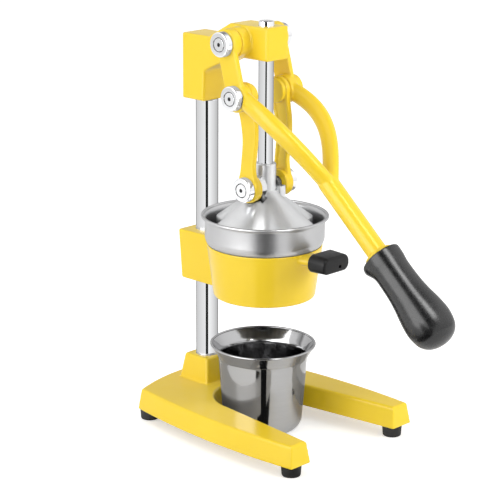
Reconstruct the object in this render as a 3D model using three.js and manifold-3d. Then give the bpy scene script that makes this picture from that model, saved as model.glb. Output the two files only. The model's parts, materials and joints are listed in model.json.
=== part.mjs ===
// Lever citrus press. A cast base carries one chromed column, and the column carries a cast head.
// A forked lever turns on the head. It pushes a lobed plunger down an upright line through two
// links, into a steel bowl with a strainer, and the juice runs into a steel cup.
//
// Millimetres, +Z up. While the pieces are built, the bowl's axis is the line x = 0, y = 0, the
// table is z = 0, the column stands behind the bowl at +Y and the lever comes forward to -Y.
// At the end the whole press is moved so that the middle of its footprint is the origin.

import * as THREE from 'three';
import { mergeVertices } from 'three/addons/utils/BufferGeometryUtils.js';
import Module from 'manifold-3d';

const wasm = await Module();
wasm.setup();

// Clearances, and the fineness of round faces
const seatGap = 0.3;
const runningGap = 0.3;
const overrun = 1;
const weldDistance = 0.0001;
const largeSides = 32;
const mediumSides = 18;
const capSides = 14;
const smallSides = 12;
const screwSides = 10;
const shankSides = 8;
const hexSides = 6;
const arcSteps = 3;
const beadSteps = 4;

// Feet and their screws
const footHeight = 11.7;
const footTopRadius = 9.8;
const footBottomRadius = 9;
const footEdge = 1;
const footCounterboreRadius = 5.5;
const footCounterboreDepth = 6;
const footScrewHeadRadius = 4.2;
const footScrewHeadHeight = 2.8;
const footScrewRadius = 2;
const footScrewReach = 12;
const frontFootX = 72.6;
const frontFootY = 105;
const rearFootX = 63;
const rearFootBehindColumn = 18;

// Base casting: two legs that come forward from a rear body, drafted sides, a round notch that
// the cup stands in, and a tapered socket block for the column
const baseThickness = 21.4;
const baseDraft = 3.3;
const baseEdge = 1.6;
const baseCornerX = 73;
const baseCornerBehindColumn = 19;
const baseRearBehindColumn = 39;
const baseRearBulgeShare = 0.75;
const legFrontY = 114.3;
const legFrontOuterX = 83;
const legFrontInnerX = 62.4;
const legBowX = 94;
const legBowY = 8;
const notchRadius = 49;
const outlineSteps = 6;
const baseWall = 5;
const basePlate = 7;
const footPadRadius = 12;
const socketPadRadius = 24;
const socketBlockHeight = 25.2;
const socketBlockHalfWidth = 20;
const socketBlockTaper = 4;
const socketBlockCorner = 2.4;
const socketFloor = 9;

// Column, and the bolt and washer that hold it down
const columnRadius = 11.15;
const columnBehindRing = 22.7;
const spigotRadius = 8;
const spigotLength = 44;
const boltHeadRadius = 6.5;
const boltHeadHeight = 5;
const boltRadius = 4;
const boltReach = 18;
const washerRadius = 10;
const washerThickness = 1.6;

// Ring bracket: a drafted ring that holds the bowl, in one casting with a block on the column
const ringBottom = 137.8;
const ringHeight = 51.5;
const ringTopRadius = 56.3;
const ringBottomRadius = 49.5;
const ringWall = 5;
const ringLip = 0.9;
const ringEdge = 1.2;
const sleeveWall = 11.6;
const sleeveTaper = 4.2;
const sleeveBack = 7.2;
const sleeveCorner = 2;
const setScrewRadius = 3;
const setScrewRecess = 1;

// Steadying knob on the front of the ring, on a stub of the ring's casting
const knobWidth = 37.6;
const knobHeight = 17.6;
const knobDepth = 20.4;
const knobTaper = 0.9;
const knobEdge = 1.6;
const knobCorner = 8;
const knobDrop = 3.4;
const knobScrewRadius = 1.5;
const knobScrewRecess = 2.5;
const knobScrewLength = 30;
const knobScrewOffset = 4.6;
const knobScrewDrop = 2.4;
const stubLength = 16.4;
const stubHalfWidth = 9;
const stubHalfHeight = 5.6;
const stubFlare = 5;
const stubFlareShare = 0.33;

// Bowl: a pressed steel funnel with a rolled rim and a spout
const sheet = 1.2;
const bowlWallOverhang = 1.6;
const bowlStandsAboveRing = 27.6;
const bowlRimOverhang = 2.6;
const bowlBead = 1.6;
const bowlCorner = 12;
const bowlConeDegrees = 45;
const spoutRadius = 12;
const spoutLength = 7;

// Strainer: a slotted plate with a ribbed cone that bears on the fruit
const strainerInset = 10.9;
const strainerConeRadius = 23;
const strainerConeHeight = 30;
const strainerTipRadius = 3;
const strainerRibCount = 8;
const strainerRibShare = 0.12;
const strainerRibSteps = 4;
const strainerTipWall = 3.6;
const strainerSlotCount = 16;
const strainerSlotWidth = 2.8;
const strainerSlotMargin = 3.5;

// Plunger: a hollow cone with four lobes, a hub for the guide rod and two ears for the links
const plungerInset = 5.2;
const plungerRimBelowBowl = 6;
const plungerSkirt = 20;
const plungerSlopeDegrees = 36;
const plungerWaistRadius = 15;
const plungerEdge = 1.5;
const lobeCount = 4;
const fluteShare = 0.2;
const waistFluteShare = 0.1;
const fluteSharpness = 5;
const plungerWall = 4.5;
const hollowTipRadius = 7.5;
const hollowHeight = 17;
const lowerPivotAboveRim = 35.5;
const earRadius = 12;
const earThickness = 6.6;
const earHalfSpan = 16.2;
const hubRadius = 10.3;
const hubAbovePivot = 22.1;
const hubWeb = 8;
const lowerPinDepth = 4.6;
const reliefGap = 0.8;

// Guide rod, and the bolt that holds it in the hub
const rodRadius = 7.26;
const rodStandsAboveHead = 4.6;
const rodEdge = 0.8;
const rodBoltHeadRadius = 4.5;
const rodBoltHeadHeight = 4;
const rodBoltRadius = 2.5;
const rodBoltReach = 10;

// Linkage seen from the side: head pivot, elbow pivot and lower pivot
const pivotSetback = 19.2;
const crankLength = 51.25;
const crankLeanDegrees = 15.74;
const linkLength = 88.8;
const pinRadius = 6;

// Links: two cast bananas that bow forward, each with a sunk panel on its inner face
const linkThickness = 9.7;
const linkBossRadius = 13.5;
const linkBodyThickness = 5.6;
const linkLowerBossRadius = 13;
const linkUpperBossRadius = 11.8;
const linkLowerDegrees = 55;
const linkUpperRearDegrees = 115;
const linkUpperFrontDegrees = 100;
const linkRearShares = [[0.18, -0.59], [0.31, -0.43], [0.53, -0.24], [0.74, -0.37], [0.87, -0.62]];
const linkFrontShares = [[0.87, 0.97], [0.7, 1.08], [0.52, 1.02], [0.36, 0.84], [0.23, 0.7]];
const linkEdgeSteps = 7;
const linkPanelDepth = 1.6;
const linkPanelRim = 3;
const linkEdge = 1;
const linkBlindWall = 3.2;

// Lever: upper ears, elbow bosses, two bowed arms that join in a round stem, and a grip
const leverEarThickness = 10.5;
const leverBossRadius = 14;
const leverPlateThickness = 5.3;
const leverPlateHalfWidth = 11;
const leverDropDegrees = 41.67;
const stemRise = 2.8;
const yokeLength = 115;
const armAlongShares = [0.03, 0.453, 0.735, 1];
const armRiseShares = [0.027, 0.217, 0.118, 0.024];
const armSpreadShares = [1, 1.363, 0.565, 0.03];
const armRootShare = 0.333;
const armHalfWidth = 7.4;
const armEndHalfWidth = 6.2;
const armHalfHeight = 9.2;
const armStations = 10;
const armSides = 10;
const stemRadius = 9.8;
const stemStartShare = 0.88;
const stemNoseLength = 12;
const leverLength = 300.6;
const collarRadius = 14.2;
const collarThickness = 3.4;
const tangRadius = 7;
const tangLength = 58;

// Grip: radius along its length, from the flared mouth past the waist to the round end
const gripLength = 101;
const gripRadius = 22.4;
const gripRise = 1.4;
const gripLip = 5.2;
const gripLipShare = 0.058;
const gripLipSpreadShare = 0.055;
const gripSides = 18;
const gripShares = [
  [0, 0.69], [0.02, 0.76], [0.06, 0.786], [0.1, 0.799], [0.14, 0.781], [0.19, 0.763],
  [0.3, 0.77], [0.4, 0.795], [0.5, 0.85], [0.6, 0.93], [0.69, 0.985], [0.77, 1],
  [0.85, 0.946], [0.9, 0.87], [0.94, 0.74], [0.97, 0.563], [0.99, 0.33], [1, 0.08],
];

// Pivot caps and their screws
const capRadius = 11.82;
const capThickness = 6.9;
const capEdge = 1;
const capScrewHeadRadius = 6.6;
const capScrewHeadHeight = 3;
const capScrewRadius = 3;
const capScrewReach = 7.5;
const hexRadius = 2;
const hexDepth = 2;

// Head casting: a front block that guides the rod, a sloping arm, and a rear block on the column
const headFrontHalfWidth = 14.6;
const headRearHalfWidth = 16.4;
const headFrontWall = 7.4;
const headTopAbovePivot = 15.6;
const headBottomBelowPivot = 15.7;
const headTopFlat = 48.2;
const headSlopeRun = 28.3;
const headRearTopBelowPivot = 0.3;
const headRearBottomBelowPivot = 64.4;
const headRearFrontWall = 2.6;
const headRearBackWall = 9.9;
const headArchRearBelowPivot = 35;
const headArchMiddleBelowPivot = 24;
const headArchMiddleDistance = 33.4;
const headArchFrontDistance = 62;
const headEdge = 2.2;
const headBossRadius = 14.5;

// Juice cup
const cupSetback = 1.3;
const cupRimRadius = 53;
const cupHeight = 88;
const cupBead = 1.1;
const cupFootRadius = 27;
const cupCorner = 12;
const cupShoulderRadius = 43.4;
const cupShoulderHeight = 71;
const cupFlareShares = [[0.16, 0.28], [0.55, 0.62]];

// Places that follow from the sizes above
const radians = THREE.MathUtils.degToRad;
const baseBottom = footHeight + seatGap;
const baseTop = baseBottom + baseThickness;
const socketTop = baseTop + socketBlockHeight;
const socketBottom = baseBottom + socketFloor;
const columnBottom = socketBottom + seatGap;
const columnDistance = ringTopRadius + columnBehindRing;
const rearFootY = columnDistance + rearFootBehindColumn;
const baseCornerY = columnDistance + baseCornerBehindColumn;
const baseRearY = columnDistance + baseRearBehindColumn;
const ringTop = ringBottom + ringHeight;
const ringSeatRadius = ringTopRadius - ringLip;
const ringDraft = (ringTopRadius - ringBottomRadius) / ringHeight;
const sleeveHalfWidth = columnRadius + sleeveWall;
const sleeveRearY = columnDistance + columnRadius + sleeveBack;
const bowlCone = radians(bowlConeDegrees);
const bowlWallRadius = ringTopRadius + bowlWallOverhang;
const bowlRim = ringTop + bowlStandsAboveRing;
const plungerRim = bowlRim - plungerRimBelowBowl;
const plungerRadius = bowlWallRadius - plungerInset;
const plungerSlope = Math.tan(radians(plungerSlopeDegrees));
const hollowTop = plungerRim + hollowHeight;
const rodBottom = hollowTop + hubWeb + seatGap;
const crankLean = radians(crankLeanDegrees);
const elbowY = pivotSetback - crankLength * Math.sin(crankLean);
const lowerPivotZ = plungerRim + lowerPivotAboveRim;
const elbowZ = lowerPivotZ + Math.sqrt(linkLength ** 2 - elbowY ** 2);
const headPivotZ = elbowZ + crankLength * Math.cos(crankLean);
const headTop = headPivotZ + headTopAbovePivot;
const headBottom = headPivotZ - headBottomBelowPivot;
const headRearBottom = headPivotZ - headRearBottomBelowPivot;
const headRearY = columnDistance + spigotRadius + headRearBackWall;
const headFrontY = rodRadius + headFrontWall;
const linkInnerX = earHalfSpan + runningGap;
const linkOuterX = linkInnerX + linkThickness;
const leverInnerX = linkOuterX + runningGap;
const leverOuterX = leverInnerX + leverEarThickness;
const leverMiddleX = (leverInnerX + leverOuterX) / 2;
const leverDrop = radians(leverDropDegrees);
const gripStart = leverLength - gripLength;
const knobZ = ringTop - knobDrop;
const knobBackY = ringTopRadius + stubLength;
const knobFrontY = knobBackY + knobDepth;

const spot = (x, y, z) => new THREE.Vector3(x, y, z);
const sides = [['left', -1], ['right', 1]];

// Finishes
function finish(color, roughness, metalness) {
  return () => new THREE.MeshStandardMaterial({ color, roughness, metalness });
}
const yellowPaint = finish(0xf5cf3a, 0.38, 0);
const chrome = finish(0xe2e4e6, 0.1, 1);
const brushedSteel = finish(0xc4c6c8, 0.28, 1);
const castAluminium = finish(0xc9cacc, 0.34, 1);
const plainSteel = finish(0x8f9194, 0.4, 1);
const blackPlastic = finish(0x1b1b1c, 0.28, 0);
const blackRubber = finish(0x202021, 0.75, 0);

// A closed geometry as a solid that can be joined and cut
function solidOf(geometry) {
  const bare = geometry.clone();
  bare.deleteAttribute('normal');
  bare.deleteAttribute('uv');
  const merged = mergeVertices(bare, weldDistance);
  const index = merged.index.array;
  const kept = [];
  for (let i = 0; i < index.length; i += 3) {
    const corners = index.slice(i, i + 3);
    if (new Set(corners).size === 3) {
      kept.push(...corners);
    }
  }
  return new wasm.Manifold(new wasm.Mesh({
    numProp: 3,
    vertProperties: new Float32Array(merged.attributes.position.array),
    triVerts: new Uint32Array(kept),
  }));
}

// A solid as a named mesh with its finish
function piece(name, solid, makeFinish) {
  const result = solid.getMesh();
  const geometry = new THREE.BufferGeometry();
  geometry.setAttribute('position', new THREE.Float32BufferAttribute(result.vertProperties, 3));
  geometry.setIndex(new THREE.Uint32BufferAttribute(result.triVerts, 1));
  geometry.computeVertexNormals();
  const mesh = new THREE.Mesh(geometry, makeFinish());
  mesh.name = name;
  return mesh;
}

const joined = (solids) => solids.reduce((whole, solid) => whole.add(solid));

// A round bar from one point to another
function bar(start, end, radius, barSides = mediumSides) {
  const along = end.clone().sub(start);
  const middle = start.clone().add(end).divideScalar(2);
  const geometry = new THREE.CylinderGeometry(radius, radius, along.length(), barSides);
  geometry.applyQuaternion(new THREE.Quaternion().setFromUnitVectors(spot(0, 1, 0), along.normalize()));
  geometry.translate(middle.x, middle.y, middle.z);
  return solidOf(geometry);
}

function uprightBar(x, y, low, high, radius, barSides) {
  return bar(spot(x, y, low), spot(x, y, high), radius, barSides);
}

// A profile of points [radius, height] turned about the Z axis
function turned(profile, turnedSides) {
  const points = profile.map(([radius, height]) => new THREE.Vector2(radius, height));
  const geometry = new THREE.LatheGeometry(points, turnedSides);
  geometry.rotateX(Math.PI / 2);
  return solidOf(geometry);
}

// A closed skin through a row of outlines that have equal numbers of points. place(point, k) puts
// a point of outline k in space.
function lofted(outlines, place) {
  const count = outlines[0].length;
  const positions = outlines.flatMap((outline, k) => outline.flatMap((point) => place(point, k).toArray()));
  const index = [];
  for (let k = 0; k + 1 < outlines.length; k += 1) {
    for (let i = 0; i < count; i += 1) {
      const a = k * count + i;
      const b = k * count + (i + 1) % count;
      index.push(a, b, b + count, a, b + count, a + count);
    }
  }
  const last = (outlines.length - 1) * count;
  THREE.ShapeUtils.triangulateShape(outlines[0], []).forEach(([a, b, c]) => index.push(c, b, a));
  THREE.ShapeUtils.triangulateShape(outlines[outlines.length - 1], [])
    .forEach(([a, b, c]) => index.push(last + a, last + b, last + c));
  const geometry = new THREE.BufferGeometry();
  geometry.setAttribute('position', new THREE.Float32BufferAttribute(positions, 3));
  geometry.setIndex(index);
  return solidOf(geometry);
}

// An anticlockwise outline moved outwards by a distance, or inwards by a negative one
function grown(outline, distance) {
  return outline.map((point, i) => {
    const last = outline[(i + outline.length - 1) % outline.length];
    const next = outline[(i + 1) % outline.length];
    const into = point.clone().sub(last).normalize();
    const out = next.clone().sub(point).normalize();
    const bisector = new THREE.Vector2(into.y + out.y, -into.x - out.x).normalize();
    const lean = bisector.x * into.y - bisector.y * into.x;
    return point.clone().addScaledVector(bisector, distance / lean);
  });
}

// The levels of a solid with rounded end edges: height, and how far the outline draws in there
function roundedLevels(low, high, lowEdge, highEdge) {
  const levels = [];
  const addEnd = (end, edge, toward) => {
    for (let i = 0; i <= arcSteps && (edge > 0 || i === 0); i += 1) {
      const angle = (Math.PI / 2) * (i / arcSteps);
      levels.push([end + toward * edge * (1 - Math.cos(angle)), edge * (1 - Math.sin(angle))]);
    }
  };
  addEnd(low, lowEdge, 1);
  addEnd(high, highEdge, -1);
  return levels.sort((one, other) => one[0] - other[0]);
}

// A rectangle with round corners, anticlockwise
function roundedRectangle(halfWidth, halfHeight, corner) {
  const outline = [];
  [[1, 1], [-1, 1], [-1, -1], [1, -1]].forEach(([right, up], quarter) => {
    for (let i = 0; i <= arcSteps; i += 1) {
      const angle = (Math.PI / 2) * (quarter + i / arcSteps);
      outline.push(new THREE.Vector2(
        right * (halfWidth - corner) + corner * Math.cos(angle),
        up * (halfHeight - corner) + corner * Math.sin(angle),
      ));
    }
  });
  return outline.filter((point, i) => i === 0 || point.distanceTo(outline[i - 1]) > weldDistance);
}

// A ring of points whose radius may change with the angle
function loop(count, radiusAt) {
  return Array.from({ length: count }, (unused, i) => {
    const angle = 2 * Math.PI * (i / count);
    return new THREE.Vector2(Math.cos(angle), Math.sin(angle)).multiplyScalar(radiusAt(angle));
  });
}

function oval(halfWidth, halfHeight, count) {
  return loop(count, () => 1).map((point) => new THREE.Vector2(point.x * halfWidth, point.y * halfHeight));
}

// Points [radius, height] on an arc
function arc(centreR, centreZ, radius, fromDegrees, toDegrees) {
  return Array.from({ length: arcSteps + 1 }, (unused, i) => {
    const angle = radians(fromDegrees + (toDegrees - fromDegrees) * (i / arcSteps));
    return [centreR + radius * Math.cos(angle), centreZ + radius * Math.sin(angle)];
  });
}

// The closed profile of a sheet whose outer face follows a path of points [radius, height] and ends
// in a rolled bead. The path runs with the sheet on its left.
function sheetProfile(path, bead) {
  const outer = path.map(([r, z]) => new THREE.Vector2(r, z));
  const inner = outer.map((point, i) => {
    const into = point.clone().sub(outer[Math.max(i - 1, 0)]).normalize();
    const out = outer[Math.min(i + 1, outer.length - 1)].clone().sub(point).normalize();
    const bisector = new THREE.Vector2(-into.y - out.y, into.x + out.x).normalize();
    const side = into.length() > 0 ? into : out;
    return point.clone().addScaledVector(bisector, sheet / (bisector.y * side.x - bisector.x * side.y));
  });
  const outerEnd = outer[outer.length - 1];
  const innerEnd = inner[inner.length - 1];
  const half = outerEnd.clone().sub(innerEnd).divideScalar(2);
  const reach = Math.sqrt(bead ** 2 - half.lengthSq());
  const centre = outerEnd.clone().sub(half)
    .add(new THREE.Vector2(-half.y, half.x).setLength(reach));
  const fromCentre = outerEnd.clone().sub(centre);
  const sweep = 2 * Math.PI - 2 * Math.atan2(half.length(), reach);
  const rolled = Array.from({ length: beadSteps }, (unused, i) => fromCentre.clone()
    .rotateAround(new THREE.Vector2(0, 0), sweep * ((i + 1) / (beadSteps + 1))).add(centre));
  const closed = [...outer, ...rolled, ...inner.reverse()].map((point) => [Math.max(point.x, 0), point.y]);
  return closed[0][0] > 0 ? [...closed, closed[0]] : closed;
}

// A screw that points down, the underside of its head at z = 0, with a hexagon socket
function socketScrew(headRadius, headHeight, shankRadius, length) {
  const head = uprightBar(0, 0, 0, headHeight, headRadius, screwSides);
  const shank = uprightBar(0, 0, -length, headHeight / 2, shankRadius, shankSides);
  const socket = uprightBar(0, 0, headHeight - Math.min(hexDepth, headHeight / 2), headHeight + overrun,
    Math.min(hexRadius, headRadius / 2), hexSides);
  return head.add(shank).subtract(socket);
}

const feetPlaces = [
  ['front_left', -frontFootX, -frontFootY],
  ['front_right', frontFootX, -frontFootY],
  ['rear_left', -rearFootX, rearFootY],
  ['rear_right', rearFootX, rearFootY],
];

function foot() {
  const bore = footScrewRadius + seatGap;
  return turned([
    [bore, footHeight],
    [bore, footCounterboreDepth],
    [footCounterboreRadius, footCounterboreDepth],
    [footCounterboreRadius, 0],
    [footBottomRadius - footEdge, 0],
    [footBottomRadius, footEdge],
    [footTopRadius, footHeight],
    [bore, footHeight],
  ], smallSides);
}

// The base's top outline: the right half runs from the rear middle to the notch, then mirrored
function baseOutline() {
  const rearY = baseCornerY + (baseRearY - baseCornerY) * baseRearBulgeShare;
  const half = new THREE.Path();
  half.moveTo(0, rearY);
  half.quadraticCurveTo(baseCornerX / 2, rearY, baseCornerX, baseCornerY);
  half.quadraticCurveTo(legBowX, -legBowY, legFrontOuterX, -legFrontY);
  half.lineTo(legFrontInnerX, -legFrontY);
  half.lineTo(notchRadius, 0);
  half.absarc(0, 0, notchRadius, 0, Math.PI / 2);
  const points = half.getPoints(outlineSteps);
  const right = points.filter((point, i) => i === 0 || point.distanceTo(points[i - 1]) > weldDistance);
  const left = right.slice(1, -1).reverse().map((point) => new THREE.Vector2(-point.x, point.y));
  return [...right, ...left].reverse();
}

// The hollow under the base, which leaves pads for the feet and for the column's bolt
function basePocket(outline) {
  const draftBelowPlate = baseDraft * basePlate / baseThickness;
  const outlines = [grown(outline, baseDraft - baseWall), grown(outline, draftBelowPlate - baseWall)];
  const heights = [baseBottom - overrun, baseTop - basePlate];
  const pads = feetPlaces.map(
    ([, x, y]) => uprightBar(x, y, baseBottom - 2 * overrun, baseTop, footPadRadius, smallSides),
  );
  const socketPad = uprightBar(0, columnDistance, baseBottom - 2 * overrun, baseTop, socketPadRadius);
  return lofted(outlines, (p, k) => spot(p.x, p.y, heights[k])).subtract(joined([...pads, socketPad]));
}

function socketBlock() {
  const levels = [[baseTop - basePlate / 2, 0], ...roundedLevels(baseTop, socketTop, 0, baseEdge)];
  const outlines = levels.map(([height, drawnIn]) => {
    const taper = socketBlockTaper * Math.max(0, height - baseTop) / socketBlockHeight;
    const half = socketBlockHalfWidth - taper - drawnIn;
    return roundedRectangle(half, half, socketBlockCorner - drawnIn);
  });
  return lofted(outlines, (p, k) => spot(p.x, p.y + columnDistance, levels[k][0]));
}

function baseCasting() {
  const outline = baseOutline();
  const levels = roundedLevels(baseBottom, baseTop, 0, baseEdge);
  const outlines = levels.map(([height, drawnIn]) => {
    const draft = baseDraft * (baseTop - height) / baseThickness;
    return grown(outline, draft - drawnIn);
  });
  const body = lofted(outlines, (p, k) => spot(p.x, p.y, levels[k][0]));
  const footHoles = feetPlaces.map(([, x, y]) => uprightBar(x, y, baseBottom - overrun,
    baseBottom + footScrewReach + seatGap, footScrewRadius + seatGap, shankSides));
  const socket = uprightBar(0, columnDistance, socketBottom, socketTop + overrun, columnRadius + seatGap);
  const boltHole = uprightBar(
    0, columnDistance, baseBottom - overrun, socketTop, boltRadius + seatGap, shankSides,
  );
  return body.subtract(basePocket(outline)).add(socketBlock())
    .subtract(joined([...footHoles, socket, boltHole, boltCounterbore()]));
}

// The recess under the base that takes the washer and the bolt's head
function boltCounterbore() {
  const radius = washerRadius + 2 * seatGap;
  return uprightBar(0, columnDistance, baseBottom - overrun, washerTop() + seatGap, radius);
}

// The upper face of the washer, which lies so that the bolt's head stays inside the base
function washerTop() {
  return baseBottom + boltHeadHeight + washerThickness / 2;
}

function washer() {
  const bore = boltRadius + seatGap;
  const high = washerTop();
  const low = high - washerThickness;
  const profile = [[bore, low], [washerRadius, low], [washerRadius, high], [bore, high], [bore, low]];
  return turned(profile, smallSides);
}

function column() {
  const shoulder = headRearBottom - seatGap;
  const thread = uprightBar(0, 0, columnBottom - overrun, columnBottom + boltReach + 2 * seatGap,
    boltRadius + seatGap, shankSides);
  return turned([
    [0, columnBottom],
    [columnRadius, columnBottom],
    [columnRadius, shoulder],
    [spigotRadius, shoulder],
    [spigotRadius, shoulder + spigotLength],
    [0, shoulder + spigotLength],
  ], mediumSides).subtract(thread);
}

// The inside of the ring: a coned seat that fits the bowl, and a drafted bore below it
function ringInside() {
  const seatDepth = (ringWall - ringLip) / (1 / Math.tan(bowlCone) - ringDraft);
  const boreAt = (height) => ringTopRadius - ringWall - ringDraft * (ringTop - height);
  return turned([
    [0, ringBottom - overrun],
    [boreAt(ringBottom - overrun), ringBottom - overrun],
    [boreAt(ringTop - seatDepth), ringTop - seatDepth],
    [ringSeatRadius, ringTop],
    [ringSeatRadius, ringTop + overrun],
    [0, ringTop + overrun],
  ], largeSides);
}

function sleeveBlock() {
  const depth = sleeveRearY - ringBottomRadius / 2;
  const levels = roundedLevels(ringBottom, ringTop - seatGap, ringEdge, ringEdge);
  const outlines = levels.map(([height, drawnIn]) => {
    const taper = sleeveTaper * (ringTop - height) / ringHeight;
    return roundedRectangle(sleeveHalfWidth - taper - drawnIn, depth / 2 - drawnIn, sleeveCorner - drawnIn);
  });
  return lofted(outlines, (p, k) => spot(p.x, p.y + sleeveRearY - depth / 2, levels[k][0]));
}

function knobStub() {
  const stations = [
    [ringTopRadius - ringWall, stubFlare],
    [ringTopRadius + stubFlare / 2, stubFlare * stubFlareShare],
    [knobBackY - seatGap, 0],
  ];
  const stubZ = Math.min(knobZ, ringTop - stubHalfHeight);
  return lofted(stations.map(([, flare]) => oval(stubHalfWidth + flare, stubHalfHeight, smallSides)),
    (p, k) => spot(p.x, -stations[k][0], stubZ + p.y));
}

const knobScrewSpot = (y) => spot(knobScrewOffset, y, knobZ - knobScrewDrop);

function knobBore() {
  const radius = knobScrewRadius + seatGap;
  const rear = knobFrontY - knobScrewRecess - knobScrewLength - seatGap;
  return bar(knobScrewSpot(-rear), knobScrewSpot(-knobFrontY - overrun), radius, shankSides);
}

function setScrewHole(rearY, height) {
  const start = spot(0, columnDistance, height);
  return bar(start, spot(0, rearY + overrun, height), setScrewRadius + seatGap, smallSides);
}

// A headless screw that bears on the column or its spigot from behind
function setScrew(radiusInside, rearY, height) {
  const tip = columnDistance + radiusInside + seatGap;
  const end = rearY - setScrewRecess;
  const depth = Math.min(hexDepth, (end - tip) / 2);
  const at = (y) => spot(0, y, height);
  const shank = bar(at(tip), at(end), setScrewRadius, smallSides);
  const socket = bar(at(end - depth), at(end + overrun), setScrewRadius / 2, hexSides);
  return shank.subtract(socket);
}

const sleeveScrewZ = () => ringBottom + ringHeight / 2;
const headScrewZ = () => headRearBottom + spigotLength / 2;

function ringBracket() {
  const wall = turned([
    [0, ringBottom],
    [ringBottomRadius - ringEdge, ringBottom],
    [ringBottomRadius, ringBottom + ringEdge],
    [ringTopRadius, ringTop],
    [0, ringTop],
  ], largeSides);
  const columnBore = uprightBar(
    0, columnDistance, ringBottom - overrun, ringTop + overrun, columnRadius + seatGap,
  );
  return joined([wall, sleeveBlock(), knobStub()])
    .subtract(joined([ringInside(), columnBore, setScrewHole(sleeveRearY, sleeveScrewZ()), knobBore()]));
}

function ringKnob() {
  const levels = roundedLevels(knobBackY, knobFrontY, knobEdge / 2, knobEdge);
  const outlines = levels.map(([reach, drawnIn]) => {
    const inset = drawnIn + knobTaper * (reach - knobBackY) / knobDepth;
    return roundedRectangle(knobWidth / 2 - inset, knobHeight / 2 - inset, knobCorner - inset);
  });
  return lofted(outlines, (p, k) => spot(p.x, -levels[k][0], knobZ + p.y)).subtract(knobBore());
}

function knobScrew() {
  const front = knobFrontY - knobScrewRecess;
  const tip = knobScrewSpot(knobScrewLength - front);
  const shank = bar(tip, knobScrewSpot(-front), knobScrewRadius, shankSides);
  const socket = bar(knobScrewSpot(knobScrewRadius - front), knobScrewSpot(-front - overrun),
    knobScrewRadius / 2, hexSides);
  return shank.subtract(socket);
}

// The height of the bowl cone's outer face at a radius: it lies on the ring's seat
function bowlConeZ(radius) {
  return ringTop - (ringSeatRadius - radius) * Math.tan(bowlCone) + seatGap / Math.cos(bowlCone);
}

// The height of the centre of the bowl's rounded corner
function bowlCornerZ() {
  const radius = bowlWallRadius - bowlCorner + bowlCorner * Math.sin(bowlCone);
  return bowlConeZ(radius) + bowlCorner * Math.cos(bowlCone);
}

function bowl() {
  const spoutTop = bowlConeZ(spoutRadius);
  const path = [
    [spoutRadius, spoutTop - spoutLength],
    [spoutRadius, spoutTop],
    ...arc(bowlWallRadius - bowlCorner, bowlCornerZ(), bowlCorner, bowlConeDegrees - 90, 0),
    [bowlWallRadius, bowlRim - 2 * bowlBead],
    [bowlWallRadius + bowlRimOverhang, bowlRim - bowlBead],
  ];
  return turned(sheetProfile(path, bowlBead), largeSides);
}

function strainer() {
  const radius = bowlWallRadius - strainerInset;
  const low = bowlConeZ(radius) + (sheet + seatGap) / Math.cos(bowlCone);
  const high = low + sheet;
  const plate = uprightBar(0, 0, low, high, radius, largeSides);
  const ribbed = (base) => loop(strainerRibCount * strainerRibSteps,
    (angle) => base * (1 - strainerRibShare * (1 - Math.cos(strainerRibCount * angle)) / 2));
  const tip = high + strainerConeHeight;
  const coneHeights = [low, high, tip - strainerTipRadius / 2, tip];
  const coneRadii = [strainerConeRadius, strainerConeRadius, strainerTipRadius, strainerTipRadius / 2];
  const cone = lofted(coneRadii.map(ribbed), (p, k) => spot(p.x, p.y, coneHeights[k]));
  const innerRadius = strainerConeRadius * (1 - strainerRibShare) - sheet;
  const inside = turned([
    [0, low - overrun],
    [innerRadius, low - overrun],
    [innerRadius, low],
    [0, tip - strainerTipWall],
  ], mediumSides);
  const slotInner = strainerConeRadius + strainerSlotMargin;
  const slotLength = radius - strainerSlotMargin - slotInner;
  const slots = Array.from({ length: strainerSlotCount }, (unused, i) => {
    const slot = new THREE.BoxGeometry(slotLength, strainerSlotWidth, sheet + 2 * overrun);
    slot.translate(slotInner + slotLength / 2, 0, (low + high) / 2);
    slot.rotateZ(2 * Math.PI * (i / strainerSlotCount));
    return solidOf(slot);
  });
  return plate.add(cone).subtract(joined([inside, ...slots]));
}

// The plunger's outline at a radius: lobes on the X and Y axes with flutes between them
function lobes(radius, depthShare) {
  return loop(largeSides + lobeCount, (angle) => {
    const flute = Math.abs(Math.sin(lobeCount * angle / 2)) ** fluteSharpness;
    return radius * (1 - depthShare * flute);
  });
}

function plungerEar(side) {
  const low = plungerRim + hollowHeight / 2;
  const x = side * (earHalfSpan - earThickness / 2);
  const post = new THREE.BoxGeometry(earThickness, 2 * earRadius, lowerPivotZ - low);
  post.translate(x, 0, (lowerPivotZ + low) / 2);
  const ends = [-1, 1].map((end) => spot(x + end * earThickness / 2, 0, lowerPivotZ));
  const top = bar(...ends, earRadius);
  return solidOf(post).add(top);
}

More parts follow.
